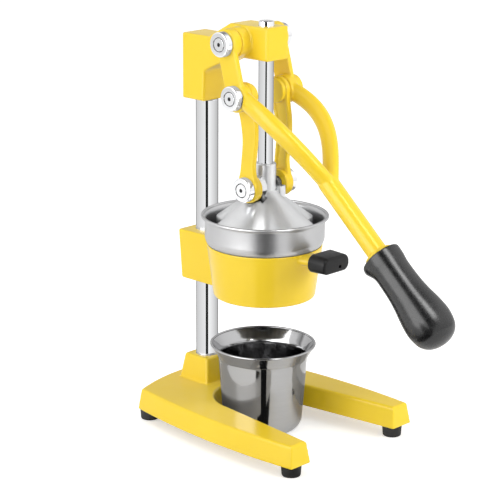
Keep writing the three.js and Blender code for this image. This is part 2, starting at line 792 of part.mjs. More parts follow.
function plunger() {
  const bottom = plungerRim - plungerSkirt;
  const hubTop = lowerPivotZ + hubAbovePivot;
  const waistZ = plungerRim + (plungerRadius - plungerWaistRadius) * plungerSlope;
  const stations = [
    [bottom, plungerRadius - plungerEdge, fluteShare],
    [bottom + plungerEdge, plungerRadius, fluteShare],
    [plungerRim - plungerEdge, plungerRadius, fluteShare],
    [plungerRim + plungerEdge * plungerSlope, plungerRadius - plungerEdge, fluteShare],
    [waistZ, plungerWaistRadius, waistFluteShare],
    [waistZ + plungerWaistRadius - hubRadius, hubRadius - seatGap, 0],
  ];
  const cone = lofted(stations.map(([, radius, share]) => lobes(radius, share)),
    (p, k) => spot(p.x, p.y, stations[k][0]));
  const hub = uprightBar(0, 0, hollowTop, hubTop, hubRadius);
  const hollowRadius = plungerRadius * (1 - fluteShare) - plungerWall;
  const hollow = turned([
    [0, bottom - overrun],
    [hollowRadius, bottom - overrun],
    [hollowRadius, plungerRim - plungerWall / 2],
    [hollowTipRadius, hollowTop],
    [0, hollowTop],
  ], mediumSides);
  const rodBore = uprightBar(0, 0, hollowTop + hubWeb, hubTop + overrun, rodRadius + seatGap);
  const boltBore = uprightBar(0, 0, hollowTop - overrun, rodBottom, rodBoltRadius + seatGap, shankSides);
  const across = (x) => spot(x, 0, lowerPivotZ);
  const pinEnd = earHalfSpan - lowerPinDepth - seatGap;
  const pinBores = sides.map(([, side]) => bar(
    across(side * pinEnd), across(side * (earHalfSpan + overrun)), pinRadius + seatGap, smallSides,
  ));
  const reliefs = sides.map(([, side]) => bar(
    across(side * earHalfSpan), across(side * (leverInnerX + runningGap)), linkBossRadius + reliefGap,
  ));
  return joined([cone, hub, ...sides.map(([, side]) => plungerEar(side))])
    .subtract(joined([hollow, rodBore, boltBore, ...pinBores, ...reliefs]));
}

function guideRod() {
  const top = headTop + rodStandsAboveHead;
  const threadTop = rodBottom + rodBoltReach + seatGap;
  const thread = uprightBar(0, 0, rodBottom - overrun, threadTop, rodBoltRadius + seatGap, shankSides);
  return turned([
    [0, rodBottom],
    [rodRadius, rodBottom],
    [rodRadius, top - rodEdge],
    [rodRadius - rodEdge, top],
    [0, top],
  ], mediumSides).subtract(thread);
}

// A link in its own frame: x along the link from the lower pivot, y forward, z outward
function link() {
  const outline = linkOutline();
  const bodyInner = linkThickness - linkBodyThickness;
  const levels = roundedLevels(bodyInner, linkThickness, 0, linkEdge);
  const outlines = levels.map(([, drawnIn]) => grown(outline, -drawnIn));
  const body = lofted(outlines, (p, k) => spot(p.x, p.y, levels[k][0]));
  const bosses = uprightBar(0, 0, 0, linkThickness - linkEdge, linkLowerBossRadius)
    .add(uprightBar(linkLength, 0, 0, linkThickness - linkEdge, linkUpperBossRadius));
  const panelHeights = [-overrun, bodyInner + linkPanelDepth];
  const panelOutline = grown(outline, -linkPanelRim);
  const panel = lofted(panelHeights.map(() => panelOutline), (p, k) => spot(p.x, p.y, panelHeights[k]));
  const lowerBore = uprightBar(0, 0, -overrun, linkThickness + overrun, pinRadius + seatGap, smallSides);
  const upperBore = uprightBar(
    linkLength, 0, linkBlindWall, linkThickness + overrun, pinRadius + seatGap, smallSides,
  );
  return body.subtract(panel).add(bosses).subtract(lowerBore.add(upperBore));
}

// The link's outline: an arc about each pivot, and between them smooth edges through rows of points
function linkOutline() {
  const turn = 2 * Math.PI;
  const onBoss = (along, from, to) => Array.from({ length: linkEdgeSteps + 1 }, (unused, i) => {
    const angle = from + (to - from) * (i / linkEdgeSteps);
    return new THREE.Vector2(along + linkBossRadius * Math.cos(angle), linkBossRadius * Math.sin(angle));
  });
  const edge = (start, shares, end) => new THREE.SplineCurve([
    start,
    ...shares.map(([along, across]) => new THREE.Vector2(along * linkLength, across * linkBossRadius)),
    end,
  ]).getPoints(linkEdgeSteps).slice(1, -1);
  const lower = onBoss(0, radians(linkLowerDegrees), turn - radians(linkLowerDegrees));
  const upper = onBoss(linkLength, -radians(linkUpperRearDegrees), radians(linkUpperFrontDegrees));
  const rear = edge(lower[linkEdgeSteps], linkRearShares, upper[0]);
  const front = edge(upper[linkEdgeSteps], linkFrontShares, lower[0]);
  return [...lower, ...rear, ...upper, ...front];
}

// A point of the lever: along its drop line from the elbow pivot, across it, and to the side
function onLever(x, along, rise) {
  const forward = along * Math.cos(leverDrop) + rise * Math.sin(leverDrop);
  const down = along * Math.sin(leverDrop) - rise * Math.cos(leverDrop);
  return spot(x, elbowY - forward, elbowZ - down);
}

// The plate between the head pivot and the elbow on one side of the lever
function leverEar(side) {
  const [inner, outer] = [side * leverInnerX, side * leverOuterX];
  const bosses = [[pivotSetback, headPivotZ], [elbowY, elbowZ]]
    .map(([y, z]) => bar(spot(inner, y, z), spot(outer, y, z), leverBossRadius));
  const plate = new THREE.BoxGeometry(leverPlateThickness, 2 * leverPlateHalfWidth, crankLength);
  plate.rotateX(-crankLean);
  const middleX = outer - side * leverPlateThickness / 2;
  plate.translate(middleX, (pivotSetback + elbowY) / 2, (headPivotZ + elbowZ) / 2);
  return joined([...bosses, solidOf(plate)]);
}

// One of the two bowed arms, whose oval section runs along a curve from the elbow to the stem
function leverArm(side) {
  const controls = armAlongShares.map((share, i) => onLever(
    side * leverMiddleX * armSpreadShares[i], yokeLength * share, yokeLength * armRiseShares[i]));
  const curve = new THREE.CubicBezierCurve3(...controls);
  const outlines = [];
  const frames = [];
  for (let k = 0; k <= armStations; k += 1) {
    const share = k / armStations;
    const rootShare = Math.max(0, 1 - share / armRootShare);
    const halfWidth = armHalfWidth + (armEndHalfWidth - armHalfWidth) * share
      + (leverEarThickness / 2 - armHalfWidth) * rootShare;
    outlines.push(oval(halfWidth, armHalfHeight, armSides));
    const along = curve.getTangent(share);
    const across = spot(1, 0, 0).addScaledVector(along, -along.x).normalize();
    frames.push([curve.getPoint(share), across, along.clone().cross(across)]);
  }
  return lofted(outlines, (p, k) => {
    const [centre, across, up] = frames[k];
    return centre.clone().addScaledVector(across, p.x).addScaledVector(up, p.y);
  });
}

// The round stem, whose nose is rounded where it grows out from between the arms
function leverStem() {
  const start = yokeLength * stemStartShare;
  const stations = [];
  for (let i = 1; i <= arcSteps; i += 1) {
    const angle = (Math.PI / 2) * (i / arcSteps);
    stations.push([start + stemNoseLength * (1 - Math.cos(angle)), stemRadius * Math.sin(angle)]);
  }
  stations.push([gripStart - seatGap, stemRadius]);
  return lofted(stations.map(([, radius]) => loop(mediumSides, () => radius)),
    (p, k) => onLever(p.x, stations[k][0], stemRise + p.y));
}

function leverYoke() {
  const collar = bar(onLever(0, gripStart - seatGap - collarThickness, stemRise),
    onLever(0, gripStart - seatGap, stemRise), collarRadius);
  const tang = bar(onLever(0, gripStart - collarThickness, stemRise),
    onLever(0, gripStart + tangLength, stemRise), tangRadius, smallSides);
  const parts = sides.flatMap(([, side]) => [leverEar(side), leverArm(side)]);
  const bores = [[pivotSetback, headPivotZ], [elbowY, elbowZ]].map(([y, z]) => bar(
    spot(-leverOuterX - overrun, y, z), spot(leverOuterX + overrun, y, z), pinRadius + seatGap, smallSides));
  const capRooms = sides.map(([, side]) => bar(spot(side * leverOuterX, elbowY, elbowZ),
    spot(side * (leverOuterX + capThickness), elbowY, elbowZ), capRadius + reliefGap));
  return joined([...parts, leverStem(), collar, tang]).subtract(joined([...bores, ...capRooms]));
}

function handleGrip() {
  const outlines = gripShares.map(([, radiusShare]) => loop(gripSides, () => radiusShare * gripRadius));
  const body = lofted(outlines, (p, k) => {
    const [along, radiusShare] = gripShares[k];
    const underShare = Math.max(0, -p.y) / (radiusShare * gripRadius);
    const lip = gripLip * underShare * Math.exp(-(((along - gripLipShare) / gripLipSpreadShare) ** 2));
    return onLever(p.x, gripStart + along * gripLength, stemRise + gripRise + p.y - lip);
  });
  const bore = bar(onLever(0, gripStart - overrun, stemRise),
    onLever(0, gripStart + tangLength + seatGap, stemRise), tangRadius + seatGap, smallSides);
  return body.subtract(bore);
}

// A cap that stands on its inner face, with a recess for its screw's head
function pivotCap() {
  const bore = capScrewRadius + seatGap;
  const recess = capThickness - capScrewHeadHeight - seatGap;
  return turned([
    [bore, 0],
    [capRadius, 0],
    [capRadius, capThickness - capEdge],
    [capRadius - capEdge, capThickness],
    [capScrewHeadRadius + seatGap, capThickness],
    [capScrewHeadRadius + seatGap, recess],
    [bore, recess],
    [bore, 0],
  ], capSides);
}

// The cap's screw, placed in the cap's frame
function capScrew() {
  const underHead = capThickness - capScrewHeadHeight;
  return socketScrew(capScrewHeadRadius, capScrewHeadHeight, capScrewRadius, underHead + capScrewReach)
    .translate([0, 0, underHead]);
}

// A pin across the press with a threaded hole in each of the ends named
function pivotPin(fromX, toX, y, z, threadedEnds) {
  const threads = threadedEnds.map((end) => {
    const inward = Math.sign(fromX + toX - 2 * end) || -Math.sign(end);
    return bar(spot(end - inward * overrun, y, z), spot(end + inward * (capScrewReach + seatGap), y, z),
      capScrewRadius + seatGap, shankSides);
  });
  return bar(spot(fromX, y, z), spot(toX, y, z), pinRadius, smallSides).subtract(joined(threads));
}

function headProfile() {
  const at = (y, belowPivot) => new THREE.Vector2(y, headPivotZ - belowPivot);
  const rearFrontY = columnDistance - spigotRadius - headRearFrontWall;
  return [
    at(-headFrontY, headBottomBelowPivot),
    at(columnDistance - headArchFrontDistance, headBottomBelowPivot),
    at(columnDistance - headArchMiddleDistance, headArchMiddleBelowPivot),
    at(rearFrontY - headEdge / 2, headArchRearBelowPivot),
    at(rearFrontY, headRearBottomBelowPivot),
    at(headRearY, headRearBottomBelowPivot),
    at(headRearY, headRearTopBelowPivot),
    at(headTopFlat - headFrontY + headSlopeRun, headRearTopBelowPivot),
    at(headTopFlat - headFrontY, -headTopAbovePivot),
    at(-headFrontY, -headTopAbovePivot),
  ];
}

function headCasting() {
  const profile = headProfile();
  const levels = roundedLevels(-headFrontHalfWidth, headFrontHalfWidth, headEdge, headEdge);
  const widening = (headRearHalfWidth - headFrontHalfWidth) / (headRearY + headFrontY);
  const block = lofted(levels.map(([, drawnIn]) => grown(profile, -drawnIn)), (p, k) => {
    const halfWidth = headFrontHalfWidth + widening * (p.x + headFrontY);
    return spot(levels[k][0] * halfWidth / headFrontHalfWidth, p.x, p.y);
  });
  const boss = bar(spot(-linkOuterX, pivotSetback, headPivotZ), spot(linkOuterX, pivotSetback, headPivotZ),
    headBossRadius);
  const axleBore = bar(spot(-linkOuterX - overrun, pivotSetback, headPivotZ),
    spot(linkOuterX + overrun, pivotSetback, headPivotZ), pinRadius + seatGap, smallSides);
  const rodBore = uprightBar(0, 0, headBottom - overrun, headTop + overrun, rodRadius + runningGap);
  const spigotTop = headRearBottom + spigotLength + seatGap;
  const spigotBore = uprightBar(
    0, columnDistance, headRearBottom - overrun, spigotTop, spigotRadius + seatGap,
  );
  return block.add(boss)
    .subtract(joined([axleBore, rodBore, spigotBore, setScrewHole(headRearY, headScrewZ())]));
}

function juiceCup() {
  const flareTop = cupHeight - 2 * cupBead;
  const flareRadius = cupRimRadius - 2 * cupBead;
  const path = [
    [0, 0],
    ...arc(cupFootRadius, cupCorner, cupCorner, -90, 0),
    [cupShoulderRadius, cupShoulderHeight],
    ...cupFlareShares.map(([out, up]) => [
      cupShoulderRadius + (flareRadius - cupShoulderRadius) * out,
      cupShoulderHeight + (flareTop - cupShoulderHeight) * up,
    ]),
    [flareRadius, flareTop],
  ];
  return turned(sheetProfile(path, cupBead), largeSides);
}

// The same piece on both sides of a pivot: built along +Z, then turned to face away from the press
function onBothSides(label, solid, makeFinish, faceX, y, z) {
  return sides.map(([sideName, side]) => {
    const mesh = piece(`${label}_${sideName}`, solid, makeFinish);
    mesh.rotation.y = side * Math.PI / 2;
    mesh.position.set(side * faceX, y, z);
    return mesh;
  });
}

function placed(mesh, x, y, z) {
  mesh.position.set(x, y, z);
  return mesh;
}

const frame = new THREE.Group();
frame.add(piece('base_casting', baseCasting(), yellowPaint));
feetPlaces.forEach(([place, x, y]) => {
  frame.add(placed(piece(`foot_${place}`, foot(), blackRubber), x, y, 0));
  const screw = socketScrew(footScrewHeadRadius, footScrewHeadHeight, footScrewRadius,
    footHeight - footCounterboreDepth + footScrewReach);
  const mesh = placed(piece(`foot_screw_${place}`, screw, plainSteel), x, y, footCounterboreDepth - seatGap);
  mesh.rotation.x = Math.PI;
  frame.add(mesh);
});
frame.add(placed(piece('column', column(), chrome), 0, columnDistance, 0));
frame.add(placed(piece('column_washer', washer(), plainSteel), 0, columnDistance, 0));
const columnBolt = socketScrew(boltHeadRadius, boltHeadHeight - seatGap, boltRadius,
  columnBottom - washerTop() + washerThickness + boltReach);
const columnBoltMesh = placed(piece('column_bolt', columnBolt, plainSteel), 0, columnDistance,
  washerTop() - washerThickness - seatGap);
columnBoltMesh.rotation.x = Math.PI;
frame.add(columnBoltMesh);
frame.add(piece('ring_bracket', ringBracket(), yellowPaint));
frame.add(piece('ring_set_screw', setScrew(columnRadius, sleeveRearY, sleeveScrewZ()), plainSteel));
frame.add(piece('ring_knob', ringKnob(), blackPlastic));
frame.add(piece('ring_knob_screw', knobScrew(), plainSteel));
frame.add(piece('bowl', bowl(), brushedSteel));
frame.add(piece('strainer', strainer(), brushedSteel));
frame.add(piece('head_casting', headCasting(), yellowPaint));
frame.add(piece('head_set_screw', setScrew(spigotRadius, headRearY, headScrewZ()), plainSteel));
frame.add(piece('head_axle', pivotPin(-leverOuterX, leverOuterX, pivotSetback, headPivotZ,
  [-leverOuterX, leverOuterX]), plainSteel));
const headCapX = leverOuterX + runningGap;
frame.add(...onBothSides('head_cap', pivotCap(), chrome, headCapX, pivotSetback, headPivotZ));
frame.add(...onBothSides('head_cap_screw', capScrew(), chrome, headCapX, pivotSetback, headPivotZ));

const lever = new THREE.Group();
lever.add(piece('lever_yoke', leverYoke(), yellowPaint));
lever.add(piece('handle_grip', handleGrip(), blackPlastic));
sides.forEach(([sideName, side]) => {
  const pin = pivotPin(side * leverInnerX, side * leverOuterX, elbowY, elbowZ, [side * leverOuterX]);
  lever.add(piece(`elbow_pin_${sideName}`, pin, plainSteel));
});
lever.add(...onBothSides('elbow_cap', pivotCap(), chrome, leverOuterX + seatGap, elbowY, elbowZ));
lever.add(...onBothSides('elbow_cap_screw', capScrew(), chrome, leverOuterX + seatGap, elbowY, elbowZ));

const plungerGroup = new THREE.Group();
plungerGroup.add(piece('plunger', plunger(), castAluminium));
plungerGroup.add(piece('guide_rod', guideRod(), chrome));
const rodBolt = socketScrew(rodBoltHeadRadius, rodBoltHeadHeight, rodBoltRadius, hubWeb + rodBoltReach);
const rodBoltMesh = placed(piece('guide_rod_bolt', rodBolt, plainSteel), 0, 0, hollowTop - seatGap);
rodBoltMesh.rotation.x = Math.PI;
plungerGroup.add(rodBoltMesh);
sides.forEach(([sideName, side]) => {
  const [inner, outer] = [side * (earHalfSpan - lowerPinDepth), side * linkOuterX];
  const pin = pivotPin(inner, outer, 0, lowerPivotZ, [outer]);
  plungerGroup.add(piece(`link_pin_${sideName}`, pin, plainSteel));
});
const linkCapX = linkOuterX + runningGap;
plungerGroup.add(...onBothSides('link_cap', pivotCap(), chrome, linkCapX, 0, lowerPivotZ));
plungerGroup.add(...onBothSides('link_cap_screw', capScrew(), chrome, linkCapX, 0, lowerPivotZ));

// The link's frame has x up the link, y forward and z outward. The right link is a mirror image.
const links = new THREE.Group();
const linkLean = Math.atan2(elbowY, elbowZ - lowerPivotZ);
sides.forEach(([sideName, side]) => {
  const up = spot(0, Math.sin(linkLean), Math.cos(linkLean));
  const forward = spot(0, -Math.cos(linkLean), Math.sin(linkLean));
  const outward = spot(side, 0, 0);
  const frameOfLink = new THREE.Matrix4().makeBasis(up, forward, outward)
    .setPosition(side * linkInnerX, 0, lowerPivotZ);
  const solid = link().transform(frameOfLink.toArray());
  links.add(piece(`link_${sideName}`, solid, yellowPaint));
});

const press = new THREE.Group();
const cup = placed(piece('juice_cup', juiceCup(), brushedSteel), 0, cupSetback, 0);
press.add(frame, lever, plungerGroup, links, cup);
const footprint = new THREE.Box3().setFromObject(press).getCenter(spot(0, 0, 0));
press.position.set(-footprint.x, -footprint.y, 0);
press.updateMatrixWorld(true);

export default press;
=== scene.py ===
import json
import math

import bmesh
import bpy
from mathutils import Matrix, Vector


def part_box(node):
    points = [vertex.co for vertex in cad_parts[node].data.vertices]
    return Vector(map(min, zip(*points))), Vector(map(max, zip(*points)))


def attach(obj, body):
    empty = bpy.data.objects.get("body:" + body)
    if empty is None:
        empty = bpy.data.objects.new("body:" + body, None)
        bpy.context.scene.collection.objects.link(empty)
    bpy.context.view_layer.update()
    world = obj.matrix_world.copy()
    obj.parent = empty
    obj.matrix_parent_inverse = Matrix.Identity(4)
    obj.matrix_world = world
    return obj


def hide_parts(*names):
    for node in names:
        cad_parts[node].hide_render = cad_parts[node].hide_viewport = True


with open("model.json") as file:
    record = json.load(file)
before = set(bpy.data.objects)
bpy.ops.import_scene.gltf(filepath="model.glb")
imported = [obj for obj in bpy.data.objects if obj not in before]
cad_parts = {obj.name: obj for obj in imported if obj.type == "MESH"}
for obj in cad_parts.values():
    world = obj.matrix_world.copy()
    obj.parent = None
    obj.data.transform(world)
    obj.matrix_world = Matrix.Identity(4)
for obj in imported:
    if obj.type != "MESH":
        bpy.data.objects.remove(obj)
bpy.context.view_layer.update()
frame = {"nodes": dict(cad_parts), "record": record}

# Pieces and cards are in millimetres about the bowl's axis, and turned into metres when a mesh is made.
# Floor and lamps are in metres in the frame's own place.
MM = 0.001
COLUMN_Y = 79.0
column_low, column_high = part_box("column")
SHIFT_Y = (column_low.y + column_high.y) / 2 / MM - COLUMN_Y
GAP = 0.3

# The camera, as fitted to the photograph. FOCAL_SHARE is its focal length over the picture's width.
AZIMUTH, ELEVATION, ROLL = math.radians(-46.040), math.radians(15.765), math.radians(0.334)
DISTANCE, AIM_Z, AIM_RIGHT, AIM_UP = 1828.757, 200.0, -14.300, -17.615
FOCAL_SHARE = 1897.495 / 500

# Linkage, bowl and ring
SETBACK, CRANK, LEAN, LINK = 19.2, 51.25, math.radians(15.74), 88.8
BOWL_R, RING_TOP, RING_R, RING_BOTTOM, RING_BOTTOM_R = 57.9, 189.3, 56.3, 137.8, 49.5
RING_HEIGHT = RING_TOP - RING_BOTTOM
RING_WALL, RING_LIP = 5, 0.9
BOWL_RIM = RING_TOP + 27.6
PLUNGER_RIM = BOWL_RIM - 6
LOWER_Z = PLUNGER_RIM + 35.5
ELBOW_Y = SETBACK - CRANK * math.sin(LEAN)
ELBOW_Z = LOWER_Z + math.sqrt(LINK ** 2 - ELBOW_Y ** 2)
HEAD_Z = ELBOW_Z + CRANK * math.cos(LEAN)
HEAD_TOP, HEAD_BOTTOM = HEAD_Z + 15.6, HEAD_Z - 64.4
HOLLOW_TOP = PLUNGER_RIM + 17
HUB_TOP = LOWER_Z + 22.1
EAR_X = 16.2
LINK_IN = EAR_X + GAP
LINK_THICK, LINK_BOSS = 9.7, 13.5
LINK_OUT = LINK_IN + LINK_THICK
LEVER_IN = LINK_OUT + GAP
LEVER_OUT = LEVER_IN + 10.5
DROP = math.radians(41.67)
COLUMN_R, SPIGOT_R, ROD_R, PIN_R = 11.15, 8, 7.26, 6.0
CAP_R, CAP_HEIGHT = 11.82, 6.9
BOLT_R, ROD_BOLT_R, SET_SCREW_R, FOOT_SCREW_R = 4.3, 2.8, 3.3, 2.3
KNOB_REACH, KNOB_SCREW_X, KNOB_SCREW_Z, KNOB_SCREW_R = 16.4, 4.6, RING_TOP - 5.8, 1.8

# Lever, measured along it from the elbow
ARM_LENGTH, STEM_RISE = 115, 2.8
GRIP_START = 300.6 - 101
TANG_R, TANG_LENGTH = 7, 58


# Mesh tools

def circle(radius, sides):
    angles = [2 * math.pi * i / sides for i in range(sides)]
    return [(radius * math.cos(a), radius * math.sin(a)) for a in angles]


def at_height(outline, z):
    return [(x, y, z) for x, y in outline]


def turned(profile, sides=96, centre=(0, 0)):
    """A closed profile of points (radius, height), turned about an upright axis."""
    points = list(profile)
    if points[0] == points[-1]:
        points.pop()
    on_axis = [radius < 1e-6 for radius, height in points]
    verts, rows, faces = [], [], []
    for (radius, height), single in zip(points, on_axis):
        if single:
            rows.append([len(verts)] * sides)
            verts.append(Vector((centre[0], centre[1], height)))
        else:
            rows.append([len(verts) + i for i in range(sides)])
            verts += [Vector((centre[0] + x, centre[1] + y, height)) for x, y in circle(radius, sides)]
    for k, row in enumerate(rows):
        following = (k + 1) % len(rows)
        if on_axis[k] and on_axis[following]:
            continue
        other = rows[following]
        for i in range(sides):
            j = (i + 1) % sides
            face = [row[i], row[j], other[j], other[i]]
            face = [v for n, v in enumerate(face) if v not in face[:n]]
            if len(face) > 2:
                faces.append(face)
    return verts, faces


def lofted(outlines):
    """A closed skin through outlines with equal numbers of points."""
    count = len(outlines[0])
    verts = [Vector(p) for outline in outlines for p in outline]
    faces = []
    for k in range(len(outlines) - 1):
        for i in range(count):
            a, b = k * count + i, k * count + (i + 1) % count
            faces.append([a, b, b + count, a + count])
    faces.append(list(range(count))[::-1])
    last = (len(outlines) - 1) * count
    faces.append([last + i for i in range(count)])
    return verts, faces


def bar(start, end, radius, sides=64, edge=0.0):
    """A round bar, with its ends' edges rounded if edge is given."""
    start, end = Vector(start), Vector(end)
    turn = (end - start).normalized().to_track_quat("Z", "Y").to_matrix()
    length = (end - start).length
    stations = [(0, radius), (length, radius)]
    if edge:
        ends = [(edge * (1 - math.cos(a)), radius - edge * (1 - math.sin(a)))
                for a in (math.pi / 2 * i / 6 for i in range(7))]
        stations = ends + [(length - z, r) for z, r in reversed(ends)]
    return lofted([[start + turn @ Vector((x, y, z)) for x, y in circle(r, sides)] for z, r in stations])


def upright(y, low, high, radius, sides=64, x=0):
    """A round bar along Z."""
    return bar((x, y, low), (x, y, high), radius, sides)


def crosswise(y, z, start, end, radius, sides=48, edge=0.0):
    """A round bar along X."""
    return bar((start, y, z), (end, y, z), radius, sides, edge)


def mesh_object(name, solids):
    """One object from a list of (verts, faces), in metres in the frame's place."""
    verts, faces = [], []
    for solid_verts, solid_faces in solids:
        start = len(verts)
        verts += [((v.x) * MM, (v.y + SHIFT_Y) * MM, v.z * MM) for v in solid_verts]
        faces += [[start + i for i in face] for face in solid_faces]
    mesh = bpy.data.meshes.new(name)
    mesh.from_pydata(verts, [], faces)
    obj = bpy.data.objects.new(name, mesh)
    bpy.context.scene.collection.objects.link(obj)
    edit = bmesh.new()
    edit.from_mesh(mesh)
    bmesh.ops.recalc_face_normals(edit, faces=edit.faces)
    bmesh.ops.triangulate(edit, faces=[f for f in edit.faces if len(f.verts) > 4])
    edit.to_mesh(mesh)
    edit.free()
    return obj


def settle(obj):
    """Applies the object's modifiers."""
    bpy.context.view_layer.update()
    graph = bpy.context.evaluated_depsgraph_get()
    made = bpy.data.meshes.new_from_object(obj.evaluated_get(graph), depsgraph=graph)
    obj.modifiers.clear()
    old = obj.data
    obj.data = made
    bpy.data.meshes.remove(old)
    return obj


def combine(obj, tool, operation="DIFFERENCE"):
    """Cuts the tool from the object, or joins it on. The tool goes."""
    modifier = obj.modifiers.new("cut", "BOOLEAN")
    modifier.operation = operation
    modifier.solver = "EXACT"
    modifier.object = tool
    settle(obj)
    bpy.data.objects.remove(tool)


def cut(obj, solids, operation="DIFFERENCE"):
    """Cuts the solids from the object, or joins them on, one after the other."""
    for solid in solids:
        combine(obj, mesh_object(obj.name + "_tool", [solid]), operation)
    return obj


def solid_of(obj):
    """The object's mesh as (verts, faces) about the bowl's axis. The object goes."""
    verts = [Vector((v.co.x / MM, v.co.y / MM - SHIFT_Y, v.co.z / MM)) for v in obj.data.vertices]
    faces = [list(p.vertices) for p in obj.data.polygons]
    bpy.data.objects.remove(obj)
    return verts, faces


def cast(name, solids, voxel=0.9, passes=6):
    """Solids fused as a casting: one skin with small fillets where they meet and soft edges."""
    obj = mesh_object(name, solids)
    skin = obj.modifiers.new("skin", "REMESH")
    skin.mode = "VOXEL"
    skin.voxel_size = voxel * MM
    soft = obj.modifiers.new("soft", "SMOOTH")
    soft.factor = 0.5
    soft.iterations = passes
    return settle(obj)


def dressed(obj, body, material, *nodes, smooth=40):
    """Gives the piece its finish and shading, lets it ride on its body and stand for CAD nodes."""
    obj.data.materials.clear()
    obj.data.materials.append(material)
    obj.data.polygons.foreach_set("use_smooth", [True] * len(obj.data.polygons))
    obj.data.set_sharp_from_angle(angle=math.radians(smooth))
    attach(obj, body)
    if nodes:
        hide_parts(*nodes)
    return obj


def grown(outline, distance):
    """An anticlockwise outline of (x, y) moved outwards by a distance."""
    result, count = [], len(outline)
    for i, (x, y) in enumerate(outline):
        (ax, ay), (bx, by) = outline[i - 1], outline[(i + 1) % count]
        into = Vector((x - ax, y - ay)).normalized()
        out = Vector((bx - x, by - y)).normalized()
        bisector = Vector((into.y + out.y, -into.x - out.x)).normalized()
        lean = bisector.x * into.y - bisector.y * into.x
        result.append((x + bisector.x * distance / lean, y + bisector.y * distance / lean))
    return result


def rounded_levels(low, high, low_edge, high_edge, steps=5):
    """Levels (place, inset) from low to high, closer together over the rounded edges."""
    levels = []
    for end, edge, toward in ((low, low_edge, 1), (high, high_edge, -1)):
        for i in range(steps + 1 if edge > 0 else 1):
            angle = math.pi / 2 * i / steps
            levels.append((end + toward * edge * (1 - math.cos(angle)), edge * (1 - math.sin(angle))))
    return sorted(levels)


def rounded_rectangle(half_width, half_height, corner, steps=8):
    outline = []
    for quarter, (right, up) in enumerate(((1, 1), (-1, 1), (-1, -1), (1, -1))):
        for i in range(steps + 1):
            angle = math.pi / 2 * (quarter + i / steps)
            outline.append((right * (half_width - corner) + corner * math.cos(angle),
                            up * (half_height - corner) + corner * math.sin(angle)))
    return outline


def curve_through(points, steps):
    """Points on a smooth curve through the given ones (Catmull-Rom)."""
    def between(a, b, c, d, t):
        return 0.5 * (2 * b + (c - a) * t + (2 * a - 5 * b + 4 * c - d) * t * t
                      + (3 * b - a - 3 * c + d) * t ** 3)
    result = []
    for i in range(len(points) - 1):
        around = points[max(i - 1, 0)], points[i], points[i + 1], points[min(i + 2, len(points) - 1)]
        result += [tuple(between(*values, k / steps) for values in zip(*around)) for k in range(steps)]
    return result + [tuple(points[-1])]


def arc(centre_r, centre_z, radius, start, end, steps=10):
    """Points on an arc between two angles in degrees."""
    angles = [math.radians(start + (end - start) * i / steps) for i in range(steps + 1)]
    return [(centre_r + radius * math.cos(a), centre_z + radius * math.sin(a)) for a in angles]


def sheet_profile(path, sheet, bead, bead_steps=14):
    """A sheet with its outer face on the path and a rolled bead at its end."""
    outer = [Vector(p) for p in path]
    inner = []
    for i, point in enumerate(outer):
        into = (point - outer[max(i - 1, 0)]).normalized() if i else Vector((0, 0))
        out = (outer[i + 1] - point).normalized() if i + 1 < len(outer) else Vector((0, 0))
        bisector = Vector((-into.y - out.y, into.x + out.x)).normalized()
        side = into if into.length > 0 else out
        inner.append(point + bisector * (sheet / (bisector.y * side.x - bisector.x * side.y)))
    half = (outer[-1] - inner[-1]) / 2
    reach = math.sqrt(bead ** 2 - half.length_squared)
    centre = outer[-1] - half + Vector((-half.y, half.x)).normalized() * reach
    spoke = outer[-1] - centre
    sweep = 2 * math.pi - 2 * math.atan2(half.length, reach)
    rolled = []
    for i in range(bead_steps):
        angle = sweep * (i + 1) / (bead_steps + 1)
        rolled.append(centre + Vector((spoke.x * math.cos(angle) - spoke.y * math.sin(angle),
                                       spoke.x * math.sin(angle) + spoke.y * math.cos(angle))))
    return [(max(p.x, 0), p.y) for p in outer + rolled + inner[::-1]]


# Finishes

def add_node(tree, kind, inputs=(), **settings):
    """A shader node with its settings, and each input linked to a socket or set to a value."""
    node = tree.nodes.new(kind)
    for key, value in settings.items():
        setattr(node, key, value)
    for key, value in dict(inputs).items():
        if isinstance(value, bpy.types.NodeSocket):
            tree.links.new(value, node.inputs[key])
        else:
            node.inputs[key].default_value = value
    return node


def maths(tree, operation, first, second, third=1.0):
    return add_node(tree, "ShaderNodeMath", {0: first, 1: second, 2: third}, operation=operation).outputs[0]


